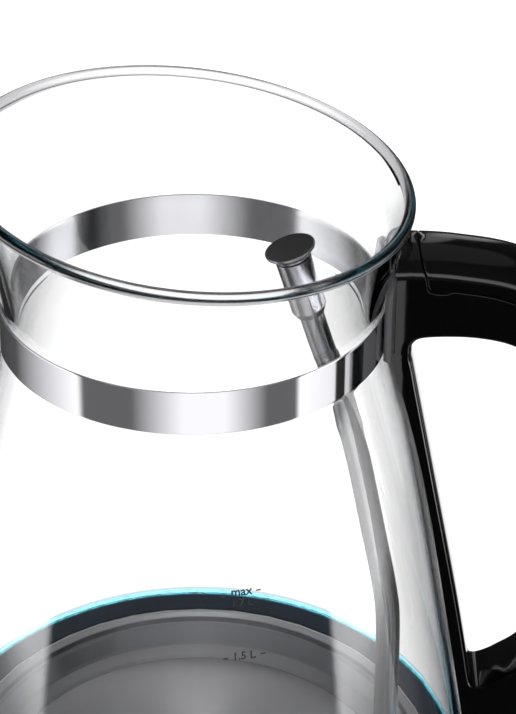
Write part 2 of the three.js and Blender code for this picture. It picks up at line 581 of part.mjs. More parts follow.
function powerBaseParts() {
  const wallFoot = BASE_BOTTOM + 2.8;
  const top = BASE_TOP;
  const opening = BOSS_RADIUS + 1.5;
  const upper = turned([
    [BASE_RADIUS - 0.6, wallFoot], [BASE_RADIUS, wallFoot + 2], [BASE_RADIUS, top - 5],
    [BASE_RADIUS - 1.4, top - 2], [BASE_RADIUS - 5, top], [opening, top],
    [opening, top - SHELL_WALL], [BASE_RADIUS - 6, top - SHELL_WALL],
    [BASE_RADIUS - SHELL_WALL - 0.6, top - 6], [BASE_RADIUS - SHELL_WALL - 0.6, wallFoot],
  ]);
  const posts = baseScrewPlaces.map((angle) => ring(1.7, 3.8, BASE_BOTTOM + 2.8, top - 1, 10)
    .translate(...around(BASE_SCREW_RADIUS, angle)));
  const glandHole = pinAlongY(0, GLAND_Z, 3.9, 7).translate(0, BASE_RADIUS - 2, 0);
  const postDrop = baseScrewPlaces.map((angle) => ring(0, 1.7, 0, top - SHELL_WALL - 0.3, 10)
    .translate(...around(BASE_SCREW_RADIUS, angle)));
  const upperShell = cut(join(upper, ...posts), ...postDrop, glandHole);

  const floor = ring(0, BASE_RADIUS - 1.6, BASE_BOTTOM, BASE_BOTTOM + 2.4);
  const rib = ring(BASE_RADIUS - 6, BASE_RADIUS - 4, BASE_BOTTOM + 1, BASE_BOTTOM + 5.4);
  const holes = baseScrewPlaces.map((angle) => join(ring(0, 1.8, 0, 10, 10),
    ring(0, 3.4, 0, BASE_BOTTOM + 1.45, 10)).translate(around(BASE_SCREW_RADIUS, angle)));
  const glandRoom = pinAlongY(0, GLAND_Z, 5, 6).translate(0, BASE_RADIUS - 6, 0);
  const lowerShell = cut(join(floor, rib), ...holes, glandRoom);

  const slots = Object.values(RING_RADII).map((radius) =>
    ring(radius - 1.3, radius + 1.3, BOSS_TOP - 11, BOSS_TOP + 1, SMALL_ROUND));
  const bossLow = BASE_BOTTOM + 2.4 + GAP;
  const boss = cut(join(ring(0, BOSS_RADIUS, bossLow, BOSS_TOP),
    ring(0, BOSS_RADIUS + 4, bossLow, BASE_TOP - SHELL_WALL - GAP)),
  ...slots, ring(0, 3.2, BOSS_TOP - 13, BOSS_TOP + 1, SMALL_ROUND));

  const contact = (radius) => box(radius - 0.3, radius + 0.3, -2, 2, BOSS_TOP - 10.6, BLADE_LOW - GAP);
  const gland = turned([[0, -3.2], [4.6, -3.2], [4.6, -0.8], [3.5, -0.8], [3.5, 3.4], [4.6, 3.4],
    [4.6, 5], [0, 5]], SMALL_ROUND).rotateX(-Math.PI / 2);
  const glandBore = pinAlongY(0, 0, 2.4, 15);
  return [
    piece('base_upper_shell', BLACK_GLOSS, upperShell),
    piece('base_lower_shell', BLACK_MATTE, lowerShell),
    piece('base_connector', BLACK_MATTE, boss),
    piece('line_contact', BRASS, contact(RING_RADII.line)),
    piece('neutral_contact', BRASS, contact(RING_RADII.neutral)),
    piece('earth_contact', BRASS, ring(0, 2.4, BOSS_TOP - 12.6, PIN_LOW - GAP, 10)),
    piece('cord_gland', RUBBER, cut(gland, glandBore).translate([0, BASE_RADIUS - 3, GLAND_Z])),
    ...footPlaces.map((angle, i) => piece(`foot_${i + 1}`, RUBBER,
      turned([[0, 0], [6.4, 0], [7, 0.5], [7, BASE_BOTTOM - 0.3], [0, BASE_BOTTOM - 0.3]], SMALL_ROUND)
        .translate(...around(FOOT_CENTRE_RADIUS, angle)))),
    ...baseScrewPlaces.map((angle, i) => piece(`base_screw_${i + 1}`, STEEL,
      toGeometry(screw(3, 1, 1.4, 11)).translate(...around(BASE_SCREW_RADIUS, angle))
        .translate(0, 0, BASE_BOTTOM + 0.1))),
  ];
}

// Loose centring ring round the connector, which turns with the jug.
function collarParts() {
  const inner = BOSS_RADIUS + 0.5;
  const collar = ring(inner, inner + 0.5, BASE_TOP - 1, BASE_TOP + 6);
  const flange = ring(inner, 26, BASE_TOP + GAP, BASE_TOP + 1.1);
  return [piece('swivel_collar', BLACK_MATTE, join(collar, flange))];
}

// ---------------------------------------------------------------- assembly
const kettle = new THREE.Group();
kettle.position.x = AXIS_X;

const powerBase = new THREE.Group();
powerBase.add(...powerBaseParts(), ...collarParts());

const jug = new THREE.Group();
jug.add(...glassParts(), ...handleParts(), ...steamParts(), ...heaterParts(), ...lightParts(),
  ...housingParts(), ...connectorParts(), ...leverParts());

kettle.add(powerBase, jug);

const assembly = new THREE.Group();
assembly.add(kettle);

export default assembly;
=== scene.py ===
"""Looks of a cordless glass kettle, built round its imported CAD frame.

Outlines are in millimetres: x and radii from the jug's axis, z from the table.
"""

import json
import math

import bmesh
import bpy
import numpy as np
from mathutils import Matrix, Vector
from mathutils.geometry import delaunay_2d_cdt


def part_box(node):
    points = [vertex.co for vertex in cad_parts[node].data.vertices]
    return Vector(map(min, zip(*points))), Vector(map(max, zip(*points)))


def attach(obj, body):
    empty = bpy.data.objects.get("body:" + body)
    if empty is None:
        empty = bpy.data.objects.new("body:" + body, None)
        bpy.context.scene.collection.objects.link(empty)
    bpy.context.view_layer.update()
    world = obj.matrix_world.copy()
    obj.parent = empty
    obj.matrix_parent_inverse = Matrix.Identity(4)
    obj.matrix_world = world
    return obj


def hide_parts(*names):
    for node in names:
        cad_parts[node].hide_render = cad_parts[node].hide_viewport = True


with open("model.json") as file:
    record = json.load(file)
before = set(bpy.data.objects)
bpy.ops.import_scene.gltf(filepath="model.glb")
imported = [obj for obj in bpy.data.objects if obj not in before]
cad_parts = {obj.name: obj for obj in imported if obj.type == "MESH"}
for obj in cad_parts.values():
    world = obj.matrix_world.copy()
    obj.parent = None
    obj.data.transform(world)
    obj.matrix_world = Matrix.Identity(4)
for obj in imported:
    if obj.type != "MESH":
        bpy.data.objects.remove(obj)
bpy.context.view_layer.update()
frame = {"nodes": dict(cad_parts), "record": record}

MM = 0.001
GAP = 0.35                          # seam between pieces that touch


def node_box(name):
    """Lowest and highest corner of a CAD node, in millimetres."""
    low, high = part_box(name)
    return low / MM, high / MM


def node_centre(name):
    """Middle of a CAD node's box, in millimetres from the jug's axis."""
    low, high = node_box(name)
    return (low.x + high.x) / 2 - AXIS_X, (low.y + high.y) / 2, (low.z + high.z) / 2


# ---------------------------------------------------------------- driving dimensions
_band_low, _band_high = node_box("neck_band")
AXIS_X = (_band_low.x + _band_high.x) / 2
BAND_TOP = _band_high.z
BAND_LOW = _band_low.z
BAND_RADIUS = _band_high.y
NECK_RADIUS = BAND_RADIUS - 0.75    # outside of the glass under the band
BAND_SHEET = 0.45

_jug_low, _jug_high = node_box("glass_jug")
GLASS_LOW = _jug_low.z
RING_Z = GLASS_LOW + 7              # foot of the clear glass, where the glowing ring sits
GLASS_FOOT_RADIUS = 79.4
GLASS_WALL = 2.5
RIM_WALL = 1.9                      # the wall is thinner near the mouth
BEAD_RADIUS = 1.55

_housing_low, _housing_high = node_box("jug_housing")
HOUSING_RADIUS = (_housing_high.y - _housing_low.y) / 2
JUG_BOTTOM = node_box("bottom_cover")[0].z
HANDLE_FOOT = node_box("handle_body")[0].z
HANDLE_WIDTH = 19.4
COVER_END = BAND_TOP - 128

_plate_low, _plate_high = node_box("heater_plate")
PLATE_RADIUS = (_plate_high.y - _plate_low.y) / 2
PLATE_FLOOR = RING_Z - 10
PLATE_SHEET = 1.2

_base_low, _base_high = node_box("base_upper_shell")
BASE_RADIUS = (_base_high.y - _base_low.y) / 2
BASE_TOP = _base_high.z
BASE_BOTTOM = node_box("base_lower_shell")[0].z
BOSS_RADIUS = 18.5

TUBE_X = 54.8                       # where the steam tube stands on the plate
TUBE_RADIUS = 3.4
SLEEVE_RADIUS = 4.9
CAP_RADIUS = 6.6


# ---------------------------------------------------------------- mesh helpers
def place(x, y, z):
    """Row-frame point, in metres, of a point measured from the jug's axis in millimetres."""
    return ((x + AXIS_X) * MM, y * MM, z * MM)


def add_object(name, data):
    """New object in the scene."""
    obj = bpy.data.objects.new(name, data)
    bpy.context.scene.collection.objects.link(obj)
    return obj


def make_object(name, vertices, faces, sharp=32):
    """Mesh object with smooth shading, except across edges sharper than an angle."""
    mesh = bpy.data.meshes.new(name)
    mesh.from_pydata(vertices, [], faces)
    mesh.validate()
    work = bmesh.new()
    work.from_mesh(mesh)
    bmesh.ops.remove_doubles(work, verts=work.verts, dist=1e-6)
    bmesh.ops.recalc_face_normals(work, faces=work.faces)
    work.to_mesh(mesh)
    work.free()
    mesh.shade_smooth()
    mesh.set_sharp_from_angle(angle=math.radians(sharp))
    return add_object(name, mesh)


def spline(points, steps):
    """Smooth curve through [x, z] points, with a number of steps between each two."""
    points = [np.array(p, float) for p in points]
    curve = []
    for i in range(len(points) - 1):
        p0, p1, p2 = points[max(i - 1, 0)], points[i], points[i + 1]
        p3 = points[min(i + 2, len(points) - 1)]
        v0, v1 = (p2 - p0) / 2, (p3 - p1) / 2
        for k in range(steps):
            t = k / steps
            curve.append((2 * p1 - 2 * p2 + v0 + v1) * t ** 3
                         + (-3 * p1 + 3 * p2 - 2 * v0 - v1) * t ** 2 + v0 * t + p1)
    curve.append(points[-1])
    return np.array(curve)


def even(curve, step):
    """The same curve with its points an even step apart."""
    curve = np.array(curve, float)
    along = np.concatenate([[0], np.cumsum(np.linalg.norm(np.diff(curve, axis=0), axis=1))])
    places = np.linspace(0, along[-1], max(2, int(round(along[-1] / step)) + 1))
    return np.column_stack([np.interp(places, along, curve[:, k]) for k in range(curve.shape[1])])


def rounded(outline, closed=True, steps=5):
    """Outline of (radius, height) points, where a third number rounds that corner."""
    result = []
    count = len(outline)
    for i, point in enumerate(outline):
        corner = np.array(point[:2], float)
        fillet = point[2] if len(point) > 2 else 0
        if not fillet or (not closed and i in (0, count - 1)):
            result.append(corner)
            continue
        before = np.array(outline[i - 1][:2], float) - corner
        after = np.array(outline[(i + 1) % count][:2], float) - corner
        a, b = before / np.linalg.norm(before), after / np.linalg.norm(after)
        half = math.acos(max(-1, min(1, a @ b))) / 2
        reach = min(fillet / math.tan(half), 0.49 * np.linalg.norm(before), 0.49 * np.linalg.norm(after))
        radius = reach * math.tan(half)
        middle = (a + b) / np.linalg.norm(a + b)
        centre = corner + middle * (radius / math.sin(half))
        start, end = corner + a * reach - centre, corner + b * reach - centre
        turn = math.atan2(start[0] * end[1] - start[1] * end[0], start @ end)
        for k in range(steps + 1):
            angle = turn * k / steps
            c, s = math.cos(angle), math.sin(angle)
            result.append(centre + np.array([c * start[0] - s * start[1], s * start[0] + c * start[1]]))
    return np.array(result)


def swept(name, outline_at, segments, centre=(0, 0), sharp=32):
    """Closed solid round a vertical axis, from a closed outline that may change with the angle."""
    rings = [outline_at(2 * math.pi * i / segments) for i in range(segments)]
    count = len(rings[0])
    vertices = []
    for i, outline in enumerate(rings):
        angle = 2 * math.pi * i / segments
        for radius, height in outline:
            vertices.append(place(centre[0] + radius * math.cos(angle),
                                  centre[1] + radius * math.sin(angle), height))
    faces = []
    for i in range(segments):
        here, there = i * count, (i + 1) % segments * count
        for j in range(count):
            up = (j + 1) % count
            faces.append((here + j, there + j, there + up, here + up))
    return make_object(name, vertices, faces, sharp)


def supported(points, near=0.25):
    """The same closed outline with a point close to both ends of each long stretch."""
    result = []
    for here, there in zip(points, np.roll(points, -1, axis=0)):
        result.append(here)
        length = np.linalg.norm(there - here)
        if length > 5 * near:
            step = (there - here) * (near / length)
            result += [here + step, there - step]
    return np.array(result)


def turned(name, outline, segments=160, centre=(0, 0), sharp=32):
    """Solid of revolution from a closed outline of (radius, height, rounding) points."""
    points = supported(rounded(outline))
    points[:, 0] = np.maximum(points[:, 0], 0)
    return swept(name, lambda angle: points, segments, centre, sharp)


def tilt(obj, base, lean):
    """Turns a piece modelled at the axis about +Y and stands it on a point (x, z)."""
    origin = Vector(place(0, 0, 0))
    turn = Matrix.Rotation(lean, 4, "Y")
    move = Matrix.Translation(Vector(place(base[0], 0, base[1])))
    obj.data.transform(move @ turn @ Matrix.Translation(-origin))
    return obj


def rod(name, path, radius_at, sides=40):
    """Round rod along a path in the plane y = 0, with a radius for each share of its length."""
    path = np.array(path, float)
    tangent = np.gradient(path, axis=0)
    tangent /= np.linalg.norm(tangent, axis=1)[:, None]
    vertices, faces = [], []
    for i, ((x, z), (tx, tz)) in enumerate(zip(path, tangent)):
        radius = radius_at(i / (len(path) - 1))
        for k in range(sides):
            angle = 2 * math.pi * k / sides
            out, side = radius * math.cos(angle), radius * math.sin(angle)
            vertices.append(place(x + out * tz, side, z - out * tx))
    for i in range(len(path) - 1):
        for k in range(sides):
            a, b = i * sides + k, i * sides + (k + 1) % sides
            faces.append((a, b, b + sides, a + sides))
    faces.append(tuple(range(sides)))
    faces.append(tuple(range((len(path) - 1) * sides, len(path) * sides)))
    return make_object(name, vertices, faces)


def cut(obj, *tools):
    """Cuts solids out of a piece."""
    for tool in tools:
        modifier = obj.modifiers.new("cut", "BOOLEAN")
        modifier.operation = "DIFFERENCE"
        modifier.solver = "EXACT"
        modifier.object = tool
        mesh = bpy.data.meshes.new_from_object(obj.evaluated_get(bpy.context.evaluated_depsgraph_get()))
        obj.modifiers.remove(modifier)
        obj.data = mesh
        mesh.set_sharp_from_angle(angle=math.radians(32))
        bpy.data.objects.remove(tool)
    return obj


def block(x0, x1, y0, y1, z0, z1):
    """Plain box for cutting."""
    corners = [place(x, y, z) for x in (x0, x1) for y in (y0, y1) for z in (z0, z1)]
    faces = [(0, 1, 3, 2), (4, 6, 7, 5), (0, 4, 5, 1), (2, 3, 7, 6), (0, 2, 6, 4), (1, 5, 7, 3)]
    return make_object("block", corners, faces)


# ---------------------------------------------------------------- materials
def add_node(tree, kind, *inputs, **settings):
    """New shader node; its first inputs take values or other nodes' sockets, or None for neither."""
    node = tree.nodes.new(kind)
    for key, value in settings.items():
        setattr(node, key, value)
    for socket, value in zip(node.inputs, inputs):
        if isinstance(value, bpy.types.NodeSocket):
            tree.links.new(value, socket)
        elif value is not None:
            socket.default_value = value
    return node


class Shader:
    """A Principled material with a few helpers for its procedural detail."""

    def __init__(self, name, color, roughness, metallic=0.0, **sockets):
        self.material = bpy.data.materials.new(name)
        self.material.use_nodes = True
        self.nodes = self.material.node_tree.nodes
        self.links = self.material.node_tree.links
        self.shader = self.nodes["Principled BSDF"]
        self.shader.inputs["Base Color"].default_value = (*color, 1)
        self.shader.inputs["Roughness"].default_value = roughness
        self.shader.inputs["Metallic"].default_value = metallic
        for socket, value in sockets.items():
            self.shader.inputs[socket.replace("_", " ")].default_value = value

    def node(self, kind, **values):
        node = self.nodes.new(kind)
        for key, value in values.items():
            if hasattr(node, key):
                setattr(node, key, value)
            else:
                node.inputs[key].default_value = value
        return node

    def noise(self, scale, stretch=(1, 1, 1), detail=3.0):
        """Noise over the object's own coordinates, in metres."""
        place_node = self.node("ShaderNodeTexCoord")
        mapping = self.node("ShaderNodeMapping", Scale=stretch)
        noise = self.node("ShaderNodeTexNoise", Scale=scale, Detail=detail)
        self.links.new(place_node.outputs["Object"], mapping.inputs["Vector"])
        self.links.new(mapping.outputs["Vector"], noise.inputs["Vector"])
        return noise.outputs["Fac"]

    def polar_noise(self, scales, detail=3.0):
        """Noise over (angle, radius, height) about the jug's axis."""
        tree = self.material.node_tree
        spot = self.node("ShaderNodeTexCoord").outputs["Object"]
        shift = add_node(tree, "ShaderNodeVectorMath", spot, (AXIS_X * MM, 0, 0), operation="SUBTRACT")
        split = add_node(tree, "ShaderNodeSeparateXYZ", shift.outputs[0])
        x, y, z = split.outputs
        angle = add_node(tree, "ShaderNodeMath", y, x, operation="ARCTAN2")
        flat = add_node(tree, "ShaderNodeVectorMath", shift.outputs[0], (1, 1, 0), operation="MULTIPLY")
        radius = add_node(tree, "ShaderNodeVectorMath", flat.outputs[0], operation="LENGTH")
        join = add_node(tree, "ShaderNodeCombineXYZ", angle.outputs[0], radius.outputs["Value"], z)
        stretch = add_node(tree, "ShaderNodeVectorMath", join.outputs[0], scales, operation="MULTIPLY")
        noise = self.node("ShaderNodeTexNoise", Scale=1.0, Detail=detail)
        self.links.new(stretch.outputs[0], noise.inputs["Vector"])
        return noise.outputs["Fac"]

    def vary(self, source, socket, low, high):
        """Drives a socket between two values by a noise."""
        spread = self.node("ShaderNodeMapRange")
        spread.inputs["From Min"].default_value = 0.3
        spread.inputs["From Max"].default_value = 0.7
        spread.inputs["To Min"].default_value = low
        spread.inputs["To Max"].default_value = high
        self.links.new(source, spread.inputs["Value"])
        self.links.new(spread.outputs["Result"], self.shader.inputs[socket])
        return spread.outputs["Result"]

    def tint(self, source, first, second):
        """Varies the base colour between two colours by a noise."""
        mix = self.node("ShaderNodeMix", data_type="RGBA")
        colors = [s for s in mix.inputs if s.type == "RGBA"]
        colors[0].default_value = (*first, 1)
        colors[1].default_value = (*second, 1)
        self.links.new(source, mix.inputs[0])
        result = [s for s in mix.outputs if s.type == "RGBA"][0]
        self.links.new(result, self.shader.inputs["Base Color"])

    def bump(self, source, strength, distance):
        """Fine relief, with its height in metres."""
        bump = self.node("ShaderNodeBump", Strength=strength, Distance=distance)
        self.links.new(source, bump.inputs["Height"])
        self.links.new(bump.outputs["Normal"], self.shader.inputs["Normal"])

    def turned_grain(self, anisotropy):
        """Stretches highlights across circular brushing round the vertical."""
        tangent = self.node("ShaderNodeTangent", direction_type="RADIAL", axis="Z")
        self.shader.inputs["Anisotropic"].default_value = anisotropy
        self.shader.inputs["Anisotropic Rotation"].default_value = 0.25
        self.links.new(tangent.outputs["Tangent"], self.shader.inputs["Tangent"])


def glass_material(name, start, width, painted_edge_shade, relief=0.10, roughness=0.0):
    """Clear glass with painted shade: its colour turns grey where it is seen edge on."""
    glass = Shader(name, (1, 1, 1), roughness, Transmission_Weight=1.0, IOR=1.47)
    glass.bump(glass.noise(28, (1, 1, 0.5), 1.5), relief, 0.0012)
    # painted shade: the base colour darkens towards grazing angles, in place of the dark edges that
    # refraction gives
    weight = glass.node("ShaderNodeLayerWeight", Blend=0.5)
    spread = glass.node("ShaderNodeMapRange")
    spread.inputs["From Min"].default_value = start
    spread.inputs["From Max"].default_value = start + width
    glass.links.new(weight.outputs["Facing"], spread.inputs["Value"])
    glass.tint(spread.outputs["Result"], (1, 1, 1), (painted_edge_shade, painted_edge_shade, 1.04 * painted_edge_shade))
    return glass.material


def painted_glow_glass_material():
    """Foot of the glass, with painted light: a cyan tint and emission stand in for the light ring's glow,
    on outward faces only.
    """
    glass = Shader("painted_glow_glass", (0.35, 0.62, 0.72), 0.0, Transmission_Weight=1.0, IOR=1.47)
    glass.shader.inputs["Emission Color"].default_value = (0.14, 0.57, 0.71, 1)
    glow = glass.polar_noise((30, 900, 1500), 4)
    spread = glass.vary(glow, "Emission Strength", 0.2, 1.5)
    tree = glass.material.node_tree
    backfacing = glass.node("ShaderNodeNewGeometry").outputs["Backfacing"]
    outward = add_node(tree, "ShaderNodeMath", 1.0, backfacing, operation="SUBTRACT")
    lit = add_node(tree, "ShaderNodeMath", spread, outward.outputs[0], operation="MULTIPLY")
    glass.links.new(lit.outputs[0], glass.shader.inputs["Emission Strength"])
    return glass.material


def polished_band_material(name, smoothest, roughest):
    steel = Shader(name, (0.80, 0.80, 0.82), 0.06, 1.0)
    streaks = steel.polar_noise((420, 1, 60), 4)
    steel.vary(streaks, "Roughness", smoothest, roughest)
    steel.bump(streaks, 0.05, 0.00002)
    return steel.material


def satin_steel_material(name, color, rough=(0.20, 0.26), relief=0.02):
    steel = Shader(name, color, 0.28, 1.0)
    grain = steel.noise(1400, (1, 1, 0.2), 4)
    steel.vary(grain, "Roughness", *rough)
    steel.bump(grain, relief, 0.00001)
    return steel.material


def plate_material(name, grey):
    steel = Shader(name, (grey, grey, 1.03 * grey), 0.32, 1.0)
    rings = steel.polar_noise((2, 3200, 900), 5)
    steel.vary(rings, "Roughness", 0.32, 0.36)
    steel.turned_grain(1.0)
    return steel.material


def gloss_plastic_material(name, color, rough=(0.05, 0.10)):
    plastic = Shader(name, color, 0.08, IOR=1.5)
    plastic.vary(plastic.noise(180, detail=4), "Roughness", *rough)
    plastic.bump(plastic.noise(60, detail=2), 0.02, 0.0001)
    return plastic.material


def matte_plastic_material(name, color, rough=(0.45, 0.60), relief=0.10):
    plastic = Shader(name, color, 0.5, IOR=1.5)
    grain = plastic.noise(2600, detail=3)
    plastic.vary(grain, "Roughness", *rough)
    plastic.bump(grain, relief, 0.00005)
    return plastic.material


def light_material():
    light = Shader("light_guide", (0.006, 0.012, 0.028), 0.4, IOR=1.4)
    light.shader.inputs["Emission Color"].default_value = (0.10, 0.62, 0.80, 1)
    glow = light.polar_noise((26, 300, 400), 3)
    light.vary(glow, "Emission Strength", 0.0, 0.006)
    return light.material


def board_material():
    board = Shader("circuit_board", (0.02, 0.16, 0.07), 0.4)
    tracks = board.polar_noise((60, 900, 1), 2)
    board.tint(tracks, (0.015, 0.12, 0.05), (0.03, 0.22, 0.10))
    board.bump(tracks, 0.2, 0.0001)
    return board.material


def mark_material():
    ink = Shader("mark_ink", (0.018, 0.018, 0.022), 0.5)
    ink.vary(ink.noise(4000), "Roughness", 0.4, 0.6)
    return ink.material


MATERIALS = {
    # both glasses carry painted shade edge on; the rim glass paints it darker, as dark lines along the
    # mouth's bead
    "clear_glass": glass_material("clear_glass", 0.6, 0.3, 0.62),
    "rim_glass": glass_material("rim_glass", 0.08, 0.22, 0.34, 0.0, 0.16),
    # painted light: the glass foot glows cyan in place of light from the ring
    "painted_glow_glass": painted_glow_glass_material(),
    "band_inside": polished_band_material("band_inside", 0.14, 0.18),
    "band": polished_band_material("polished_band", 0.05, 0.09),
    "steel": satin_steel_material("satin_steel", (0.40, 0.40, 0.42)),
    "pipe_steel": satin_steel_material("pipe_steel", (0.27, 0.27, 0.285)),
    "cap_steel": satin_steel_material("cap_steel", (0.42, 0.42, 0.43), (0.24, 0.25), 0.0),
    "plate": plate_material("brushed_plate", 0.45),
    # painted sheen: a lighter copy of the brushed plate, for the ring slopes
    "plate_rings_painted_sheen": plate_material("plate_rings_painted_sheen", 0.85),
    "screw": satin_steel_material("screw_steel", (0.55, 0.56, 0.57), (0.3, 0.4)),
    "gloss": gloss_plastic_material("black_gloss", (0.0012, 0.0012, 0.0013)),
    "matte": matte_plastic_material("black_matte", (0.014, 0.014, 0.015)),
    "pad": matte_plastic_material("grey_pad", (0.07, 0.07, 0.078), (0.3, 0.42), 0.05),
    "rubber": matte_plastic_material("black_rubber", (0.02, 0.02, 0.021), (0.7, 0.85), 0.2),
    "silicone": matte_plastic_material("silicone", (0.62, 0.63, 0.62), (0.4, 0.55), 0.05),
    "light": light_material(),
    "board": board_material(),
    "white": matte_plastic_material("white_plastic", (0.72, 0.71, 0.67), (0.35, 0.5), 0.08),
    "brass": satin_steel_material("brass", (0.62, 0.42, 0.16), (0.22, 0.35)),
    "aluminium": satin_steel_material("aluminium", (0.66, 0.67, 0.68), (0.35, 0.5)),
    "ink": mark_material(),
}
SLOT_MATERIAL = {
    "clear_glass": "clear_glass", "polished_steel": "steel", "brushed_plate": "plate",
    "screw_steel": "screw", "black_gloss": "gloss", "black_matte": "matte",
    "black_rubber": "rubber", "silicone": "silicone", "light_guide": "light",
    "circuit_board": "board", "white_plastic": "white", "brass": "brass", "aluminium": "aluminium",
}


def finish_piece(obj, material, body, slot, *replaced):
    """Gives a new piece its material, its body and the CAD nodes it stands for; its slot argument is not
    used.
    """
    obj.data.materials.clear()
    obj.data.materials.append(MATERIALS[material])
    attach(obj, body)
    if replaced:
        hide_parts(*replaced)
    return obj


def second_material(obj, material, chosen):
    """Another material on the faces whose middle, from the jug's axis in mm, is chosen."""
    obj.data.materials.append(MATERIALS[material])
    for face in obj.data.polygons:
        if chosen(face.center / MM - Vector((AXIS_X, 0, 0))):
            face.material_index = len(obj.data.materials) - 1


# ---------------------------------------------------------------- glass
WALL = spline([(GLASS_FOOT_RADIUS, RING_Z), (71.6, BAND_TOP - 108), (63.3, BAND_TOP - 59),
               (56.3, BAND_TOP - 29), (NECK_RADIUS + 0.1, BAND_LOW - 0.8)], 14)
RIM_FLARE = 1.35                    # how late the neck opens towards the mouth
RIM_OUT = 0.75                      # the wall meets the mouth's bead this far outside its middle


def glass_radius(height):
    """Outside radius of the wall below the neck."""
    return np.interp(height, WALL[:, 1], WALL[:, 0])


def mouth(angle):
    """Centre of the mouth's bead at an angle from the handle: it slants up to the pouring lip."""
    from_lip = abs(math.pi - angle % (2 * math.pi)) / math.radians(16)
    lip = math.exp(-from_lip ** 2)
    radius = 59.2 - 1.5 * math.cos(angle) - math.cos(2 * angle) + 4.5 * lip
    return radius, BAND_TOP + 32.8 - 6.4 * math.cos(angle) + lip


def on_rim(spot, reach):
    """Whether a point is within reach of the middle of the mouth's bead."""
    radius, height = mouth(math.atan2(spot.y, spot.x))
    return math.hypot(math.hypot(spot.x, spot.y) - radius, spot.z - height) < reach


def glass_outline(angle):
    rim_radius, rim_height = mouth(angle)
    steps = 26
    outer = [(GLASS_FOOT_RADIUS - 0.5, GLASS_LOW), (GLASS_FOOT_RADIUS, GLASS_LOW + 0.5)]
    outer += [tuple(p) for p in WALL]
    outer += [(NECK_RADIUS, BAND_TOP - 6), (NECK_RADIUS, BAND_TOP - 1)]
    thick = [GLASS_WALL] * len(outer)
    flare = rim_radius + RIM_OUT - NECK_RADIUS
    for i in range(1, steps + 1):
        t = 0.965 * i / steps
        outer.append((NECK_RADIUS + flare * t ** RIM_FLARE, BAND_TOP + (rim_height - BAND_TOP) * t))
        thick.append(GLASS_WALL + (RIM_WALL - GLASS_WALL) * t)
    bead = [(rim_radius + BEAD_RADIUS * math.cos(math.radians(turn)),
             rim_height + BEAD_RADIUS * math.sin(math.radians(turn))) for turn in range(-25, 216, 15)]
    inner = [(radius - wall, height) for (radius, height), wall in zip(outer, thick)][::-1]
    inner[-1] = (GLASS_FOOT_RADIUS - GLASS_WALL + 0.5, GLASS_LOW)
    return outer + bead + inner


def glass_pieces():
    jug = swept("jug_glass", glass_outline, 288, sharp=60)
    finish_piece(jug, "clear_glass", "jug", "clear_glass", "glass_jug")
    # the mouth's bead takes the glass with darker painted edge shade
    second_material(jug, "rim_glass", lambda spot: on_rim(spot, BEAD_RADIUS + 0.6))
    # painted light: the foot of the glass glows as if lit by the ring
    second_material(jug, "painted_glow_glass", lambda spot: spot.z < RING_Z + 1.4)
    inner = BAND_RADIUS - BAND_SHEET
    band = turned("neck_band_sheet", [(inner, BAND_LOW, 0.12), (BAND_RADIUS, BAND_LOW, 0.18),
                                      (BAND_RADIUS, BAND_TOP, 0.18), (inner, BAND_TOP, 0.12)], 288)
    finish_piece(band, "band", "jug", "polished_steel", "neck_band")
    second_material(band, "band_inside", lambda spot: math.hypot(spot.x, spot.y) < inner + 0.1)


# ---------------------------------------------------------------- level marks
def level_mark(name, text, size, angle, height, dashes):
    """Printed level mark on the outside of the glass, with a dash at each side."""
    curve = bpy.data.curves.new(name, "FONT")
    curve.body = text
    curve.size = size
    curve.offset = 0.022 * size
    curve.align_x = "CENTER"
    curve.align_y = "CENTER"
    curve.resolution_u = 6
    writing = add_object(name + "_text", curve)
    bpy.context.view_layer.update()
    mesh = bpy.data.meshes.new_from_object(
        writing.evaluated_get(bpy.context.evaluated_depsgraph_get()))
    bpy.data.objects.remove(writing)
    work = bmesh.new()
    work.from_mesh(mesh)
    for start, end, level in dashes:
        corners = [work.verts.new((x, y, 0)) for x, y in
                   ((start, level - 0.16), (end, level - 0.16), (end, level + 0.16), (start, level + 0.16))]
        work.faces.new(corners)
    bmesh.ops.recalc_face_normals(work, faces=work.faces)
    extruded = bmesh.ops.extrude_face_region(work, geom=work.faces[:])
    for vert in extruded["geom"]:
        if isinstance(vert, bmesh.types.BMVert):
            vert.co.z = 0.05
    bmesh.ops.recalc_face_normals(work, faces=work.faces)
    for vert in work.verts:
        across, up, out = vert.co
        z = height + up
        radius = glass_radius(z) + 0.03 + out
        turn = angle + across / glass_radius(height)
        vert.co = place(radius * math.cos(turn), radius * math.sin(turn), z)
    work.to_mesh(mesh)
    work.free()
    return finish_piece(add_object(name, mesh), "ink", "jug", "black_matte")


def level_marks():
    middle = math.radians(-77.5)
    level_mark("mark_max", "max", 3.3, middle, BAND_TOP - 54.8,
               [(-5.4, -4.1, -0.9), (3.8, 5.1, -0.2)])
    level_mark("mark_17", "1.7 L", 2.9, middle, BAND_TOP - 57.9, [])
    level_mark("mark_15", "1.5 L", 3.1, middle, BAND_TOP - 73.0,
               [(-5.6, -4.2, -0.3), (4.4, 5.8, -0.1)])


# ---------------------------------------------------------------- handle
CROWN = 8.2                         # height of the rounded back of the handle's section
RIDGE_RISE = 4.4                    # the back's middle stands above its sides
SEAM_ROUND = 0.35                   # rounding of the edges along the cover's seam
GAP_ROUND = 2.2                     # rounding round the finger gap
COVER_DEPTH = 10.6
SEAM_WIDTH = 0.2
SEAM_BOW = 1.3                      # the seam's front end bows towards the jug at the ridge
WALL_CLEARANCE = 0.8                # between the wall of the glass and the handle
NECK_CLEARANCE = 2.4                # between the neck band and the handle, where the pad goes
TOP_RUN = 60                        # points of the ridge before it turns down


def shifted(curve, distance):
    """Open curve moved sideways, to its right when walked from start to end."""
    curve = np.array(curve, float)
    direction = np.gradient(curve, axis=0)
    direction /= np.linalg.norm(direction, axis=1)[:, None]
    return curve + distance * np.column_stack([direction[:, 1], -direction[:, 0]])


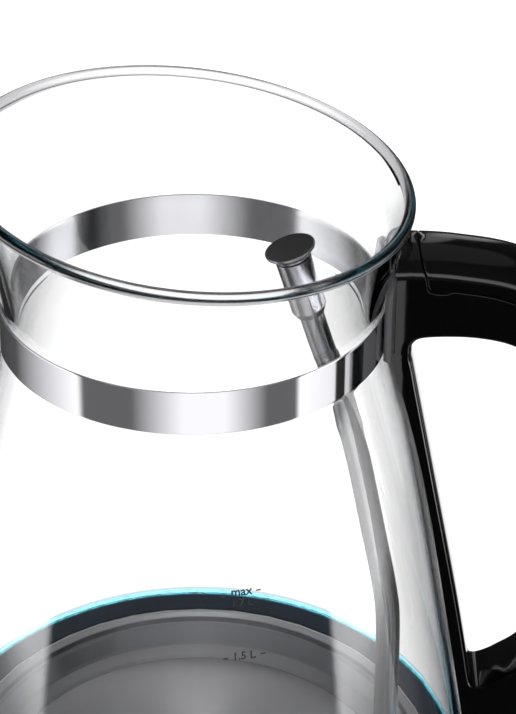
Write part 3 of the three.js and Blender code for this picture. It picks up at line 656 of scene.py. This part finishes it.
def ridge():
    """Middle line of the handle's back, from the neck over the grip to the foot."""
    top = BAND_TOP
    return even(spline([
        (50, top + 11 + RIDGE_RISE), (58, top + 11.6 + RIDGE_RISE), (70, top + 10.8 + RIDGE_RISE),
        (86.5, top + 7.4 + RIDGE_RISE), (104.4, top - 1 + 0.7 * RIDGE_RISE),
        (118, top - 16 + 0.2 * RIDGE_RISE), (125.5, top - 40), (126.6, top - 62), (122, top - 88),
        (112, top - 112), (102, top - 132), (97.5, top - 152), (96, top - 170), (95.5, HANDLE_FOOT),
    ], 12), 0.9)


def finger_gap():
    top = BAND_TOP
    upper = spline([(58.4, top - 16), (58.9, top - 12.2), (62.5, top - 10.4), (75, top - 10.5),
                    (86, top - 13.4), (96, top - 21), (102.6, top - 36), (104.8, top - 58),
                    (103.8, top - 80), (100, top - 102), (93.6, top - 117.6), (86.4, top - 123.9),
                    (81.6, top - 126.6), (79.4, top - 126.4), (78.4, top - 123)], 10)
    spine = spline([(78.4, top - 123), (73.8, top - 96), (65.4, top - 52), (58.4, top - 16)], 10)
    return even(np.vstack([upper, spine[1:-1]]), 0.9)


def root_side():
    """Inner side of the handle along the housing, the glass, the neck and the flared mouth."""
    housing = HOUSING_RADIUS + GAP + 0.1
    low = [(housing, HANDLE_FOOT), (housing, RING_Z + 1.4)]
    wall = [(glass_radius(z) + WALL_CLEARANCE, z) for z in np.arange(RING_Z + 1.4, BAND_LOW - 2, 1.5)]
    saddle = BAND_RADIUS + NECK_CLEARANCE
    neck = [(saddle, z) for z in np.arange(BAND_LOW - 1.6, BAND_TOP + 9, 1.2)]
    rim_radius, rim_height = mouth(0)
    flare = [(NECK_RADIUS + (rim_radius + RIM_OUT - NECK_RADIUS)
              * ((z - BAND_TOP) / (rim_height - BAND_TOP)) ** RIM_FLARE + 1.0, z)
             for z in np.arange(BAND_TOP + 9.4, BAND_TOP + 15, 1)]
    flare = [(max(x, saddle - 1.2), z) for x, z in flare]
    return np.array(low + wall + neck + flare)


def distance_to(points, curve, closed=False):
    """Distance of each point to a curve."""
    a = np.array(curve, float)
    b = np.roll(a, -1, axis=0) if closed else a[1:]
    a = a if closed else a[:-1]
    best = np.full(len(points), 1e9)
    for start, end in zip(a, b):
        along = end - start
        length = along @ along
        if length < 1e-12:
            continue
        t = np.clip(((points - start) @ along) / length, 0, 1)
        best = np.minimum(best, np.linalg.norm(points - start - t[:, None] * along, axis=1))
    return best


def inside(points, polygon):
    """Whether each point is inside a closed polygon."""
    result = np.zeros(len(points), bool)
    x, z = points[:, 0], points[:, 1]
    for (x0, z0), (x1, z1) in zip(polygon, np.roll(polygon, -1, axis=0)):
        crosses = (z0 > z) != (z1 > z)
        if z0 != z1:
            result ^= crosses & (x < (x1 - x0) * (z - z0) / (z1 - z0) + x0)
    return result


def pillow(name, polygon, holes, loops, half_width_at, wrap=None):
    """Solid between two mirrored faces whose distance from the middle surface follows a function."""
    wrap = wrap or hugging
    border = [np.array(polygon)] + [np.array(hole) for hole in holes]
    points, edges = [], []
    for loop in border:
        first = len(points)
        points += [Vector(p) for p in loop]
        edges += [(first + i, first + (i + 1) % len(loop)) for i in range(len(loop))]
    for loop in loops:
        loop = np.array(loop)
        keep = inside(loop, border[0])
        for hole in border[1:]:
            keep &= ~inside(loop, hole)
        for ring in border:
            keep &= distance_to(loop, ring, closed=True) > 0.05
        for i in range(len(loop)):
            if keep[i]:
                points.append(Vector(loop[i]))
                if i and keep[i - 1]:
                    edges.append((len(points) - 2, len(points) - 1))
    flat, _, triangles, *_ = delaunay_2d_cdt(points, edges, [], 0, 1e-4)
    flat = np.array([tuple(p) for p in flat])
    centres = np.array([flat[list(t)].mean(axis=0) for t in triangles])
    kept = inside(centres, border[0])
    for hole in border[1:]:
        kept &= ~inside(centres, hole)
    triangles = [tuple(t) for t, k in zip(triangles, kept) if k]
    half = half_width_at(flat)
    count = len(flat)
    vertices = [wrap(x, -h, z) for (x, z), h in zip(flat, half)]
    vertices += [wrap(x, h, z) for (x, z), h in zip(flat, half)]
    uses = {}
    for a, b, c in triangles:
        for pair in ((a, b), (b, c), (c, a)):
            key = tuple(sorted(pair))
            uses[key] = uses.get(key, 0) + 1
    faces = list(triangles)
    faces += [tuple(i + count for i in reversed(t)) for t in triangles]
    faces += [(a, b, b + count, a + count) for (a, b), n in uses.items() if n == 1]
    return make_object(name, vertices, faces, sharp=38)


HUG_DEPTH = 14                      # how far into the handle its fit round the jug reaches


def hugging(x, y, z):
    """Bends the handle's inner side round the jug."""
    if z < RING_Z + 1:
        radius = HOUSING_RADIUS + GAP
    elif z < BAND_LOW - 1.6:
        radius = glass_radius(z) + WALL_CLEARANCE
    else:
        radius = BAND_RADIUS + NECK_CLEARANCE
    sag = radius - math.sqrt(max(radius ** 2 - y ** 2, 0))
    share = min(1, max(0, 1 - (x - radius) / HUG_DEPTH))
    bow = 0
    if z > BAND_TOP:
        near_seam = math.exp(-((x - 61.5) / 5) ** 2) * min(1, (z - BAND_TOP) / 4)
        bow = SEAM_BOW * near_seam * (1 - (2 * y / HANDLE_WIDTH) ** 2)
    return place(x - sag * share * share * (3 - 2 * share) - bow, y, z)


def dome(depth, rise, half):
    """Half width of an elliptical crown, at a depth below its ridge."""
    share = np.clip(1 - depth / rise, 0, 1)
    return half * np.sqrt(1 - share ** 2)


def edge(depth, radius, half):
    """Half width near a side edge with a round of a radius."""
    left = np.clip(radius - depth, 0, radius)
    return half - radius + np.sqrt(radius ** 2 - left ** 2)


def handle_pieces():
    back = ridge()
    gap = finger_gap()
    root = root_side()
    half = HANDLE_WIDTH / 2
    top = BAND_TOP
    start = spline([(60.0, top + 18), (60.9, top + 12), (61.6, top + 8.5), (62.0, top + 6),
                    (62.5, top + 4.7), (63.9, top + 4.1), (66.5, top + 3.9)], 8)
    along = shifted(back, COVER_DEPTH)
    along = along[(along[:, 0] > 68) & (along[:, 1] > COVER_END)]
    end = [(along[-1][0], COVER_END), (along[-1][0] + COVER_DEPTH + 4, COVER_END)]
    seam = even(np.vstack([start, along, end]), 0.8)

    def crown(points):
        return np.minimum(dome(distance_to(points, back), CROWN, half),
                          edge(distance_to(points, gap, closed=True), GAP_ROUND, half))

    def seam_round(points, side):
        depth = distance_to(points, side)
        return edge(depth, SEAM_ROUND, 0) - edge(np.array([9.0]), SEAM_ROUND, 0)

    body_seam = shifted(seam, SEAM_WIDTH / 2)
    cover_seam = shifted(seam, -SEAM_WIDTH / 2)
    turns = [1 - math.cos(math.radians(angle)) for angle in range(8, 91, 8)]
    crown_loops = [shifted(back, CROWN * turn) for turn in turns + [1.0, 1.05]]
    gap_closed = np.vstack([gap, gap[:2]])
    gap_loops = [shifted(gap_closed, -GAP_ROUND * turn) for turn in turns[1::2] + [1.0, 1.2]]
    body_fine = [shifted(body_seam, SEAM_ROUND * turn) for turn in (0.15, 0.5, 1.0, 1.9)]
    cover_fine = [shifted(cover_seam, -SEAM_ROUND * turn) for turn in (0.15, 0.5, 1.0, 1.9)]
    root_loops = [shifted(root, depth) for depth in (1.5, 4, 7, 10, 14)]

    def crossing(curve, seam_line):
        """Index of the ridge's point nearest to a point where the seam leaves the back."""
        return int(np.argmin(np.linalg.norm(curve - seam_line, axis=1)))

    def trimmed(line):
        """The part of a seam line that lies within the back."""
        level = np.interp(line[:, 0], back[:TOP_RUN, 0], back[:TOP_RUN, 1])
        first = next(i for i, p in enumerate(line) if p[1] < level[i])
        last = len(line) - 1
        foot_x = np.interp(-COVER_END, -back[TOP_RUN:, 1], back[TOP_RUN:, 0])
        while line[last][0] > foot_x:
            last -= 1
        return line[first:last + 1]

    inner_line, outer_line = trimmed(body_seam), trimmed(cover_seam)
    upper_a, lower_a = crossing(back, inner_line[0]), crossing(back, inner_line[-1])
    upper_b, lower_b = crossing(back, outer_line[0]), crossing(back, outer_line[-1])
    body_polygon = np.vstack([back[4:upper_a], inner_line, back[lower_a + 1:], root])
    cover_polygon = np.vstack([back[upper_b + 1:lower_b], outer_line[::-1]])

    body = pillow("handle_shell", body_polygon, [gap], crown_loops + gap_loops + body_fine + root_loops,
                  lambda p: np.maximum(crown(p) + seam_round(p, inner_line), 0))
    cover = pillow("handle_back_cover", cover_polygon, [], crown_loops + cover_fine,
                   lambda p: np.maximum(crown(p) + seam_round(p, outer_line), 0))
    lever_low, lever_high = node_box("switch_lever")
    body = cut(body, block(84.5, 122, lever_low.y - 0.4, lever_high.y + 0.4, HANDLE_FOOT - 5, 46))
    finish_piece(body, "gloss", "jug", "black_gloss", "handle_body")
    finish_piece(cover, "gloss", "jug", "black_gloss", "handle_cover")


def saddle_piece():
    """Pad between the neck and the root of the handle, bent round the neck."""
    half, low, high, corner = 15.4, BAND_LOW - 1.5, BAND_TOP + 8.6, 4
    inner, outer = BAND_RADIUS + 0.3, BAND_RADIUS + 2.3
    middle, half_sheet, round_edge = (inner + outer) / 2, (outer - inner) / 2, 0.7
    outline = rounded([(-half, low, 0.6), (half, low, 0.6), (half, high, corner), (-half, high, corner)],
                      steps=8)
    outline = even(np.vstack([outline, outline[:1]]), 0.8)[:-1]
    closed = np.vstack([outline, outline[:2]])
    lines = [shifted(closed, -round_edge * share) for share in (0.07, 0.25, 0.55, 1.0, 1.5)]
    for across in np.arange(-half + 2, half - 1, 1.4):
        lines.append([(across, z) for z in np.arange(low + 2, high - 1.5, 1.4)])

    def thickness(points):
        return edge(distance_to(points, outline, closed=True), round_edge, half_sheet)

    def round_neck(across, out, height):
        turn = across / middle
        return place((middle + out) * math.cos(turn), (middle + out) * math.sin(turn), height)

    return pillow("neck_pad", outline, [], lines, thickness, round_neck)


# ---------------------------------------------------------------- steam tube
def tube_pieces():
    top = BAND_TOP
    sleeve_end = (31.8, top - 8)
    cap_centre = (25.5, top + 12.35)
    lean = math.atan2(cap_centre[0] - sleeve_end[0], cap_centre[1] - sleeve_end[1])
    length = math.hypot(cap_centre[0] - sleeve_end[0], cap_centre[1] - sleeve_end[1])
    path = even(spline([(27.9, top + 4.5), sleeve_end, (36.6, top - 23), (39.0, top - 30.5),
                        (41.2, top - 38), (44.6, top - 52), (49.6, top - 77), (53.4, top - 97),
                        (TUBE_X, top - 112), (TUBE_X, PLATE_FLOOR + 20),
                        (TUBE_X, PLATE_FLOOR - 8)], 10), 1.2)
    heights = path[:, 1]

    def radius_at(share):
        height = heights[int(round(share * (len(heights) - 1)))]
        bulge = 0.42 * math.exp(-((height - (top - 27.5)) / 2.2) ** 2)
        dent = -0.22 * math.exp(-((height - (top - 32.5)) / 2.2) ** 2)
        second = 0.25 * math.exp(-((height - (top - 43)) / 3.0) ** 2)
        return TUBE_RADIUS + bulge + dent + second

    tube = rod("steam_pipe", path, radius_at)
    finish_piece(tube, "pipe_steel", "jug", "polished_steel", "steam_tube")

    bore = TUBE_RADIUS + 0.25
    sleeve = turned("pipe_sleeve", [(bore, 0, 0.2), (SLEEVE_RADIUS - 0.9, 0, 0.5),
                                    (SLEEVE_RADIUS, 2.0, 0.8), (SLEEVE_RADIUS, length - 3.3, 0.2),
                                    (bore, length - 3.3, 0.2)], 72)
    slit = block(1.1, 1.4, -8, -1, -2, 9)
    cut(sleeve, slit)
    tilt(sleeve, sleeve_end, lean)
    finish_piece(sleeve, "steel", "jug", "polished_steel", "tube_sleeve")

    cap = turned("steam_inlet_cap", [
        (0, length - 3), (SLEEVE_RADIUS, length - 3, 0.15), (SLEEVE_RADIUS, length - 2.4, 0.5),
        (CAP_RADIUS + 0.2, length - 0.9, 0.3), (CAP_RADIUS + 0.3, length, 0.28),
        (CAP_RADIUS - 0.4, length - 0.12, 0.3), (0, length - 0.35)], 96)
    tilt(cap, sleeve_end, lean)
    finish_piece(cap, "cap_steel", "jug", "polished_steel", "steam_cap")

    base = PLATE_FLOOR - PLATE_SHEET
    grommet = turned("pipe_grommet", [
        (TUBE_RADIUS + 0.1, base - 2.4, 0.2), (5.4, base - 2.4, 0.4), (5.4, base - 0.3, 0.2),
        (4.6, base - 0.3), (4.6, base + PLATE_SHEET + 0.2), (6.0, base + PLATE_SHEET + 0.2, 0.4),
        (5.0, base + 4.6, 0.8), (TUBE_RADIUS + 0.1, base + 4.8, 0.3)], 72, (TUBE_X, 0))
    finish_piece(grommet, "silicone", "jug", "silicone", "tube_grommet")


# ---------------------------------------------------------------- heater plate and light
def plate_pieces():
    floor_z, top = PLATE_FLOOR, RING_Z
    steps = [(0, floor_z), (57.2, floor_z, 0.6), (58.2, floor_z + 0.7, 0.6), (61.2, floor_z + 2.4, 0.6),
             (62.0, top - 6.8, 0.5), (64.4, top - 2.9, 0.6), (65.2, top - 2.3, 0.3), (65.7, top - 0.5, 0.4),
             (PLATE_RADIUS, top - 0.4, 0.2)]
    under = [(p[0], p[1] - PLATE_SHEET, *p[2:]) for p in steps][::-1]
    plate = turned("heater_dish", steps + under, 256)
    finish_piece(plate, "plate", "jug", "brushed_plate", "heater_plate")
    # painted sheen: the ring slopes take a lighter copy of the plate's steel
    second_material(plate, "plate_rings_painted_sheen", lambda spot: 57.4 < math.hypot(spot.x, spot.y) < 65.3)

    low, high = node_box("light_ring")
    inner, outer = PLATE_RADIUS + 0.9, (high.y - low.y) / 2
    guide = turned("glow_ring", [(inner, low.z, 0.2), (outer, low.z, 0.2), (outer, high.z - 0.3, 0.3),
                                 (outer - 1, high.z, 0.4), (inner, RING_Z - 0.3, 0.4)], 256)
    finish_piece(guide, "light", "jug", "light_guide", "light_ring")


# ---------------------------------------------------------------- housing, switch and power base
def screw_holes(node, count, low, head, shank):
    """Stepped cutters at numbered CAD screws; head and shank as (radius, height above low)."""
    outline = [(0, low - 3), (head[0], low - 3), (head[0], low + head[1]), (shank[0], low + head[1]),
               (shank[0], low + shank[1]), (0, low + shank[1])]
    return [turned("hole", outline, 40, node_centre(f"{node}_{i + 1}")[:2]) for i in range(count)]


def housing_pieces():
    outer, low = HOUSING_RADIUS, JUG_BOTTOM
    seat = GLASS_FOOT_RADIUS + GAP
    shelf = RING_Z - 9.2
    shell = turned("lower_housing", [
        (outer - 3, low + 0.6, 0.3), (outer - 0.8, low + 1.6, 1.2), (outer, low + 8, 6),
        (outer, RING_Z - 5, 1.5), (outer - 1.0, RING_Z - 2.4, 1.2), (seat + 0.5, RING_Z - 0.9, 0.3),
        (seat, RING_Z - 0.9, 0.2), (seat, shelf), (PLATE_RADIUS - 3.4, shelf),
        (PLATE_RADIUS - 3.4, shelf - 2.4), (outer - 4.2, shelf - 2.4), (outer - 2.6, shelf - 6),
        (outer - 3, low + 6)], 256)
    pin_z = node_centre("lever_pin")[2]
    cut(shell, block(70, 90, -3.4, 3.4, pin_z - 4.5, pin_z + 6))
    finish_piece(shell, "gloss", "jug", "black_gloss", "jug_housing")

    cover_top = low + 2.4
    cover = turned("underside_cover", [
        (26.5, low, 0.4), (outer - 3.4, low, 0.6), (outer - 3.4, cover_top + 3, 0.3),
        (outer - 6, cover_top + 3, 0.3), (outer - 6, cover_top, 0.5), (26.5, cover_top, 0.4)], 200)
    cut(cover, *screw_holes("cover_screw", 4, low, (3.6, 1.7), (1.9, 20)))
    finish_piece(cover, "matte", "jug", "black_matte", "bottom_cover")


def lever_piece():
    """Rocker switch: a dished paddle behind the handle's foot, and an arm to the steam switch."""
    low, high = node_box("switch_lever")
    x, _, z = node_centre("lever_pin")
    half = (high.y - low.y) / 2
    outline = rounded([(x - 3.4, z - 3.2, 0.8), (x + 6, z - 5.2, 2), (x + 20, z - 8.4, 1.5),
                       (x + 22.5, z - 7.6, 0.8), (x + 22.6, z - 6, 0.8), (x + 12, z - 1.2, 6),
                       (x + 3, z + 3.2, 2), (x - 2, z + 3.2, 1), (x - 3.4, z + 1.6, 0.6)])
    outline = even(np.vstack([outline, outline[:1]]), 0.5)[:-1]
    edge_round = 1.1
    closed = np.vstack([outline, outline[:2]])
    loops = [shifted(closed, -edge_round * (1 - math.cos(math.radians(a)))) for a in (25, 50, 75, 95)]
    paddle = pillow("rocker_lever", outline, [], loops,
                    lambda p: edge(distance_to(p, outline, closed=True), edge_round, half), place)
    cut(paddle, turned_across("pin_hole", x, z, 1.8, 12))
    arm = block(x - 26.5, x - 3, -2.2, 2.2, z - 1.2, z + 2.4)
    work = bmesh.new()
    work.from_mesh(paddle.data)
    work.from_mesh(arm.data)
    work.to_mesh(paddle.data)
    work.free()
    bpy.data.objects.remove(arm)
    paddle.data.set_sharp_from_angle(angle=math.radians(38))
    finish_piece(paddle, "gloss", "switch_lever", "black_gloss", "switch_lever")


def turned_across(name, x, z, radius, half_length, sides=32):
    """Cylinder along Y, for cutting."""
    vertices, faces = [], []
    for y in (-half_length, half_length):
        for k in range(sides):
            angle = 2 * math.pi * k / sides
            vertices.append(place(x + radius * math.cos(angle), y, z + radius * math.sin(angle)))
    for k in range(sides):
        j = (k + 1) % sides
        faces.append((k, j, j + sides, k + sides))
    faces += [tuple(range(sides)), tuple(range(sides, 2 * sides))]
    return make_object(name, vertices, faces)


def base_pieces():
    top, foot = BASE_TOP, BASE_BOTTOM + 2.8
    opening = BOSS_RADIUS + 1.5
    skin = BASE_RADIUS - 2.8
    shell = turned("base_top_shell", [
        (BASE_RADIUS - 0.6, foot, 0.3), (BASE_RADIUS, foot + 2, 1), (BASE_RADIUS, top - 5, 3),
        (BASE_RADIUS - 1.4, top - 2, 2.5), (BASE_RADIUS - 5, top, 5), (opening, top, 0.5),
        (opening, top - 2.2), (BASE_RADIUS - 6, top - 2.2), (skin, top - 6), (skin, foot)], 256)
    gland_z = node_centre("cord_gland")[2]
    hole = turned("hole", [(0, -9), (3.9, -9), (3.9, 9), (0, 9)], 48)
    hole.data.transform(Matrix.Translation(Vector(place(0, BASE_RADIUS - 2, gland_z)))
                        @ Matrix.Rotation(math.pi / 2, 4, "X")
                        @ Matrix.Translation(-Vector(place(0, 0, 0))))
    cut(shell, hole)
    finish_piece(shell, "gloss", "power_base", "black_gloss", "base_upper_shell")

    low = BASE_BOTTOM
    floor = turned("base_floor", [
        (0, low), (BASE_RADIUS - 1.6, low, 0.5), (BASE_RADIUS - 1.6, low + 2.4, 0.3),
        (BASE_RADIUS - 4, low + 2.4), (BASE_RADIUS - 4, low + 5.4), (BASE_RADIUS - 6, low + 5.4),
        (BASE_RADIUS - 6, low + 2.4), (0, low + 2.4)], 200)
    cut(floor, *screw_holes("base_screw", 3, low, (3.4, 1.45), (1.8, 9)))
    finish_piece(floor, "matte", "power_base", "black_matte", "base_lower_shell")

    for i in range(1, 5):
        foot_top = node_box(f"foot_{i}")[1].z
        pad = turned(f"rubber_foot_{i}", [(0, 0.25), (3.2, 0.25, 0.3), (3.8, 0, 0.3), (6.4, 0, 0.4),
                                          (7, 0.6, 0.5), (7, foot_top, 0.1), (0, foot_top)], 64,
                     node_centre(f"foot_{i}")[:2])
        finish_piece(pad, "rubber", "power_base", "black_rubber", f"foot_{i}")

    gland = turned("cord_outlet", [
        (2.4, -3.2, 0.1), (4.6, -3.2, 0.3), (4.6, -0.8, 0.3), (3.5, -0.8), (3.5, 3.4), (4.6, 3.4, 0.4),
        (4.4, 5, 0.6), (2.9, 5.2, 0.3), (2.4, 4.6, 0.2)], 64)
    gland.data.transform(Matrix.Translation(Vector(place(0, BASE_RADIUS - 3, gland_z)))
                         @ Matrix.Rotation(-math.pi / 2, 4, "X")
                         @ Matrix.Translation(-Vector(place(0, 0, 0))))
    finish_piece(gland, "rubber", "power_base", "black_rubber", "cord_gland")


# ---------------------------------------------------------------- studio
WHITE = 1.3
THROUGH_WHITE = 1.22                # brightness of the background seen through the glass


def ramp(nodes, stops):
    """Colour ramp over azimuth, from (degrees, brightness) stops."""
    node = nodes.new("ShaderNodeValToRGB")
    elements = node.color_ramp.elements
    while len(elements) > 1:
        elements.remove(elements[-1])
    for i, (azimuth, value) in enumerate(stops):
        position = (azimuth + 180) / 360
        element = elements[0] if i == 0 else elements.new(position)
        element.position = position
        element.color = (value, value, value * 1.02, 1)
    return node


# Brightness round the horizon at a few heights, as (degrees, brightness); 0 faces the front.
LOW_RING = [(-180, 1.2), (-165, 1.2), (-155, 0.05), (-125, 0.1), (-70, 1.3), (-66, 0.15), (-35, 0.15),
            (-5, 1.2), (20, 1.2), (45, 0.15), (64, 0.15), (66, 1.3), (98, 1.0), (118, 0.1), (155, 0.05),
            (165, 1.2), (180, 1.2)]
FRONT_GLOW = [(-180, 0.06), (-140, 0.05), (-118, 0.1), (-98, 1.2), (-68, 1.3), (-66, 0.3), (-30, 2.2),
              (30, 2.2), (64, 0.3), (66, 1.3), (98, 1.2), (118, 0.1), (140, 0.05), (180, 0.06)]
UPPER_RING = [(-180, 2.6), (-178.5, 2.4), (-175, 0.05), (-120, 0.04), (-40, 0.05), (0, 0.1), (40, 0.05),
              (120, 0.04), (165, 0.06), (168, 1.1), (174, 1.1), (175, 0.05), (178, 0.05), (179, 2.4),
              (180, 2.6)]
CEILING = [(-180, 0.26), (180, 0.26)]
SIDE_BOXES = [(-180, 0.06), (-140, 0.05), (-118, 0.9), (-98, 4.6), (-68, 5.0), (-67, 0.08), (0, 0.10),
              (65.5, 0.08), (66.5, 5.0), (98, 4.6), (118, 0.9), (140, 0.05), (180, 0.06)]
STUDIO = [(-90, CEILING), (-62, LOW_RING), (-26, LOW_RING), (-22, SIDE_BOXES), (-9, SIDE_BOXES),
          (-5, FRONT_GLOW), (2, FRONT_GLOW), (10, UPPER_RING), (54, UPPER_RING), (62, CEILING)]


def studio_world():
    world = bpy.data.worlds.new("studio")
    bpy.context.scene.world = world
    world.use_nodes = True
    nodes, links = world.node_tree.nodes, world.node_tree.links
    nodes.clear()

    def math_node(operation, *values):
        node = nodes.new("ShaderNodeMath")
        node.operation = operation
        for i, value in enumerate(values):
            if isinstance(value, (int, float)):
                node.inputs[i].default_value = value
            else:
                links.new(value, node.inputs[i])
        return node.outputs[0]

    def between(value, low, high):
        node = nodes.new("ShaderNodeMapRange")
        node.interpolation_type = "SMOOTHSTEP"
        links.new(value, node.inputs["Value"])
        node.inputs["From Min"].default_value = low
        node.inputs["From Max"].default_value = high
        return node.outputs["Result"]

    def mix(factor, a, b):
        node = nodes.new("ShaderNodeMix")
        node.data_type = "RGBA"
        links.new(factor, node.inputs[0])
        for socket, value in zip([s for s in node.inputs if s.type == "RGBA"], (a, b)):
            if isinstance(value, (int, float)):
                socket.default_value = (value, value, value, 1)
            else:
                links.new(value, socket)
        return [s for s in node.outputs if s.type == "RGBA"][0]

    where = nodes.new("ShaderNodeTexCoord")
    split = nodes.new("ShaderNodeSeparateXYZ")
    links.new(where.outputs["Generated"], split.inputs[0])
    azimuth = math_node("ARCTAN2", split.outputs["X"], math_node("MULTIPLY", split.outputs["Y"], -1.0))
    share = math_node("ADD", math_node("DIVIDE", azimuth, 2 * math.pi), 0.5)
    elevation = math_node("MULTIPLY", math_node("ARCSINE", split.outputs["Z"]), 180 / math.pi)

    reflected = None
    for i, (level, stops) in enumerate(STUDIO):
        row = ramp(nodes, stops)
        links.new(share, row.inputs["Fac"])
        if reflected is None:
            reflected = row.outputs["Color"]
        else:
            reflected = mix(between(elevation, STUDIO[i - 1][0], level), reflected, row.outputs["Color"])

    seen_low = between(elevation, -58, -50)
    seen_high = between(elevation, 18, 8)
    through = mix(math_node("MULTIPLY", seen_low, seen_high), 0.45, THROUGH_WHITE)

    path = nodes.new("ShaderNodeLightPath")
    is_glossy = math_node("GREATER_THAN", path.outputs["Glossy Depth"], 0.5)
    is_diffuse = math_node("GREATER_THAN", path.outputs["Diffuse Depth"], 0.5)
    color = mix(is_glossy, through, reflected)
    color = mix(is_diffuse, color, 1.0)
    color = mix(path.outputs["Is Camera Ray"], color, WHITE)
    background = nodes.new("ShaderNodeBackground")
    output = nodes.new("ShaderNodeOutputWorld")
    links.new(color, background.inputs["Color"])
    links.new(background.outputs[0], output.inputs["Surface"])
    world.cycles.sampling_method = "NONE"


def stage_sheet(name, material_name, corners):
    """Flat sheet of the studio, with the empty node tree of its material."""
    mesh = bpy.data.meshes.new(name)
    mesh.from_pydata(corners, [], [(0, 1, 2, 3)])
    obj = add_object(name, mesh)
    material = bpy.data.materials.new(material_name)
    material.use_nodes = True
    material.node_tree.nodes.clear()
    mesh.materials.append(material)
    return obj, material.node_tree


def floor():
    """Pale floor, shown to the camera and to soft light only."""
    size = 6
    _, tree = stage_sheet("floor", "pale_floor", [
        (-size, -size, 0), (size, -size, 0), (size, size, 0), (-size, size, 0)])
    path = add_node(tree, "ShaderNodeLightPath").outputs
    seen = add_node(tree, "ShaderNodeMath", path["Is Camera Ray"], path["Diffuse Depth"],
                    operation="MAXIMUM")
    limit = add_node(tree, "ShaderNodeMath", seen.outputs[0], 1, operation="MINIMUM")
    diffuse = add_node(tree, "ShaderNodeBsdfDiffuse", (0.92, 0.92, 0.92, 1))
    glow = add_node(tree, "ShaderNodeEmission", None, 0.35)
    lit = add_node(tree, "ShaderNodeAddShader", diffuse.outputs[0], glow.outputs[0])
    clear = add_node(tree, "ShaderNodeBsdfTransparent")
    mix = add_node(tree, "ShaderNodeMixShader", limit.outputs[0], clear.outputs[0], lit.outputs[0])
    add_node(tree, "ShaderNodeOutputMaterial", mix.outputs[0])


def card(name, corner_low, corner_high, brightness):
    """Upright card facing the kettle that only reflections see; corners from the jug's axis."""
    (x0, y0, z0), (x1, y1, z1) = corner_low, corner_high
    obj, tree = stage_sheet(name, name, [
        place(x0, y0, z0), place(x1, y1, z0), place(x1, y1, z1), place(x0, y0, z1)])
    glow = add_node(tree, "ShaderNodeEmission", (brightness, brightness, brightness, 1))
    add_node(tree, "ShaderNodeOutputMaterial", glow.outputs[0])
    for rays in ("camera", "diffuse", "transmission", "shadow"):
        setattr(obj, "visible_" + rays, False)


def soft_lamp(name, location, target, size, power):
    lamp = bpy.data.lights.new(name, "AREA")
    lamp.size = size
    lamp.energy = power
    obj = add_object(name, lamp)
    obj.location = location
    obj.rotation_euler = (Vector(target) - Vector(location)).to_track_quat("-Z", "Y").to_euler()
    obj.visible_glossy = False
    obj.visible_transmission = False


def camera():
    target = Vector(place(17.4, 0, BAND_TOP - 21.76))
    distance, pitch, roll = 0.8015, math.radians(31.96), math.radians(0.35)
    back = Vector((0, -math.cos(pitch), math.sin(pitch)))
    data = bpy.data.cameras.new("camera")
    data.lens = 150.5
    data.sensor_width = 36
    data.clip_end = 20
    obj = add_object("camera", data)
    obj.location = target + back * distance
    aim = (-back).to_track_quat("-Z", "Y").to_matrix() @ Matrix.Rotation(roll, 3, "Z")
    obj.rotation_euler = aim.to_euler()
    bpy.context.scene.camera = obj


# ---------------------------------------------------------------- the scene
camera()
studio_world()
floor()
card("front_card", (57, -30, 20), (150, -30, 212), 0.02)
soft_lamp("top_lamp", (-0.5, -0.4, 1.4), (0, 0, 0.1), 0.9, 8)

for node_name, node in frame["nodes"].items():
    slot_name = next(part["material_slot"] for part in frame["record"]["subparts"]
                     if part["node"] == node_name)
    node.data.materials.clear()
    node.data.materials.append(MATERIALS[SLOT_MATERIAL[slot_name]])

glass_pieces()
level_marks()
handle_pieces()
finish_piece(saddle_piece(), "pad", "jug", "black_matte", "neck_saddle")
tube_pieces()
plate_pieces()
housing_pieces()
lever_piece()
base_pieces()

view = bpy.context.scene.view_settings
view.view_transform = "Standard"
view.look = "None"
cycles = bpy.context.scene.cycles
cycles.max_bounces = 20
cycles.transmission_bounces = 20
cycles.glossy_bounces = 8
cycles.transparent_max_bounces = 16
cycles.sample_clamp_indirect = 4
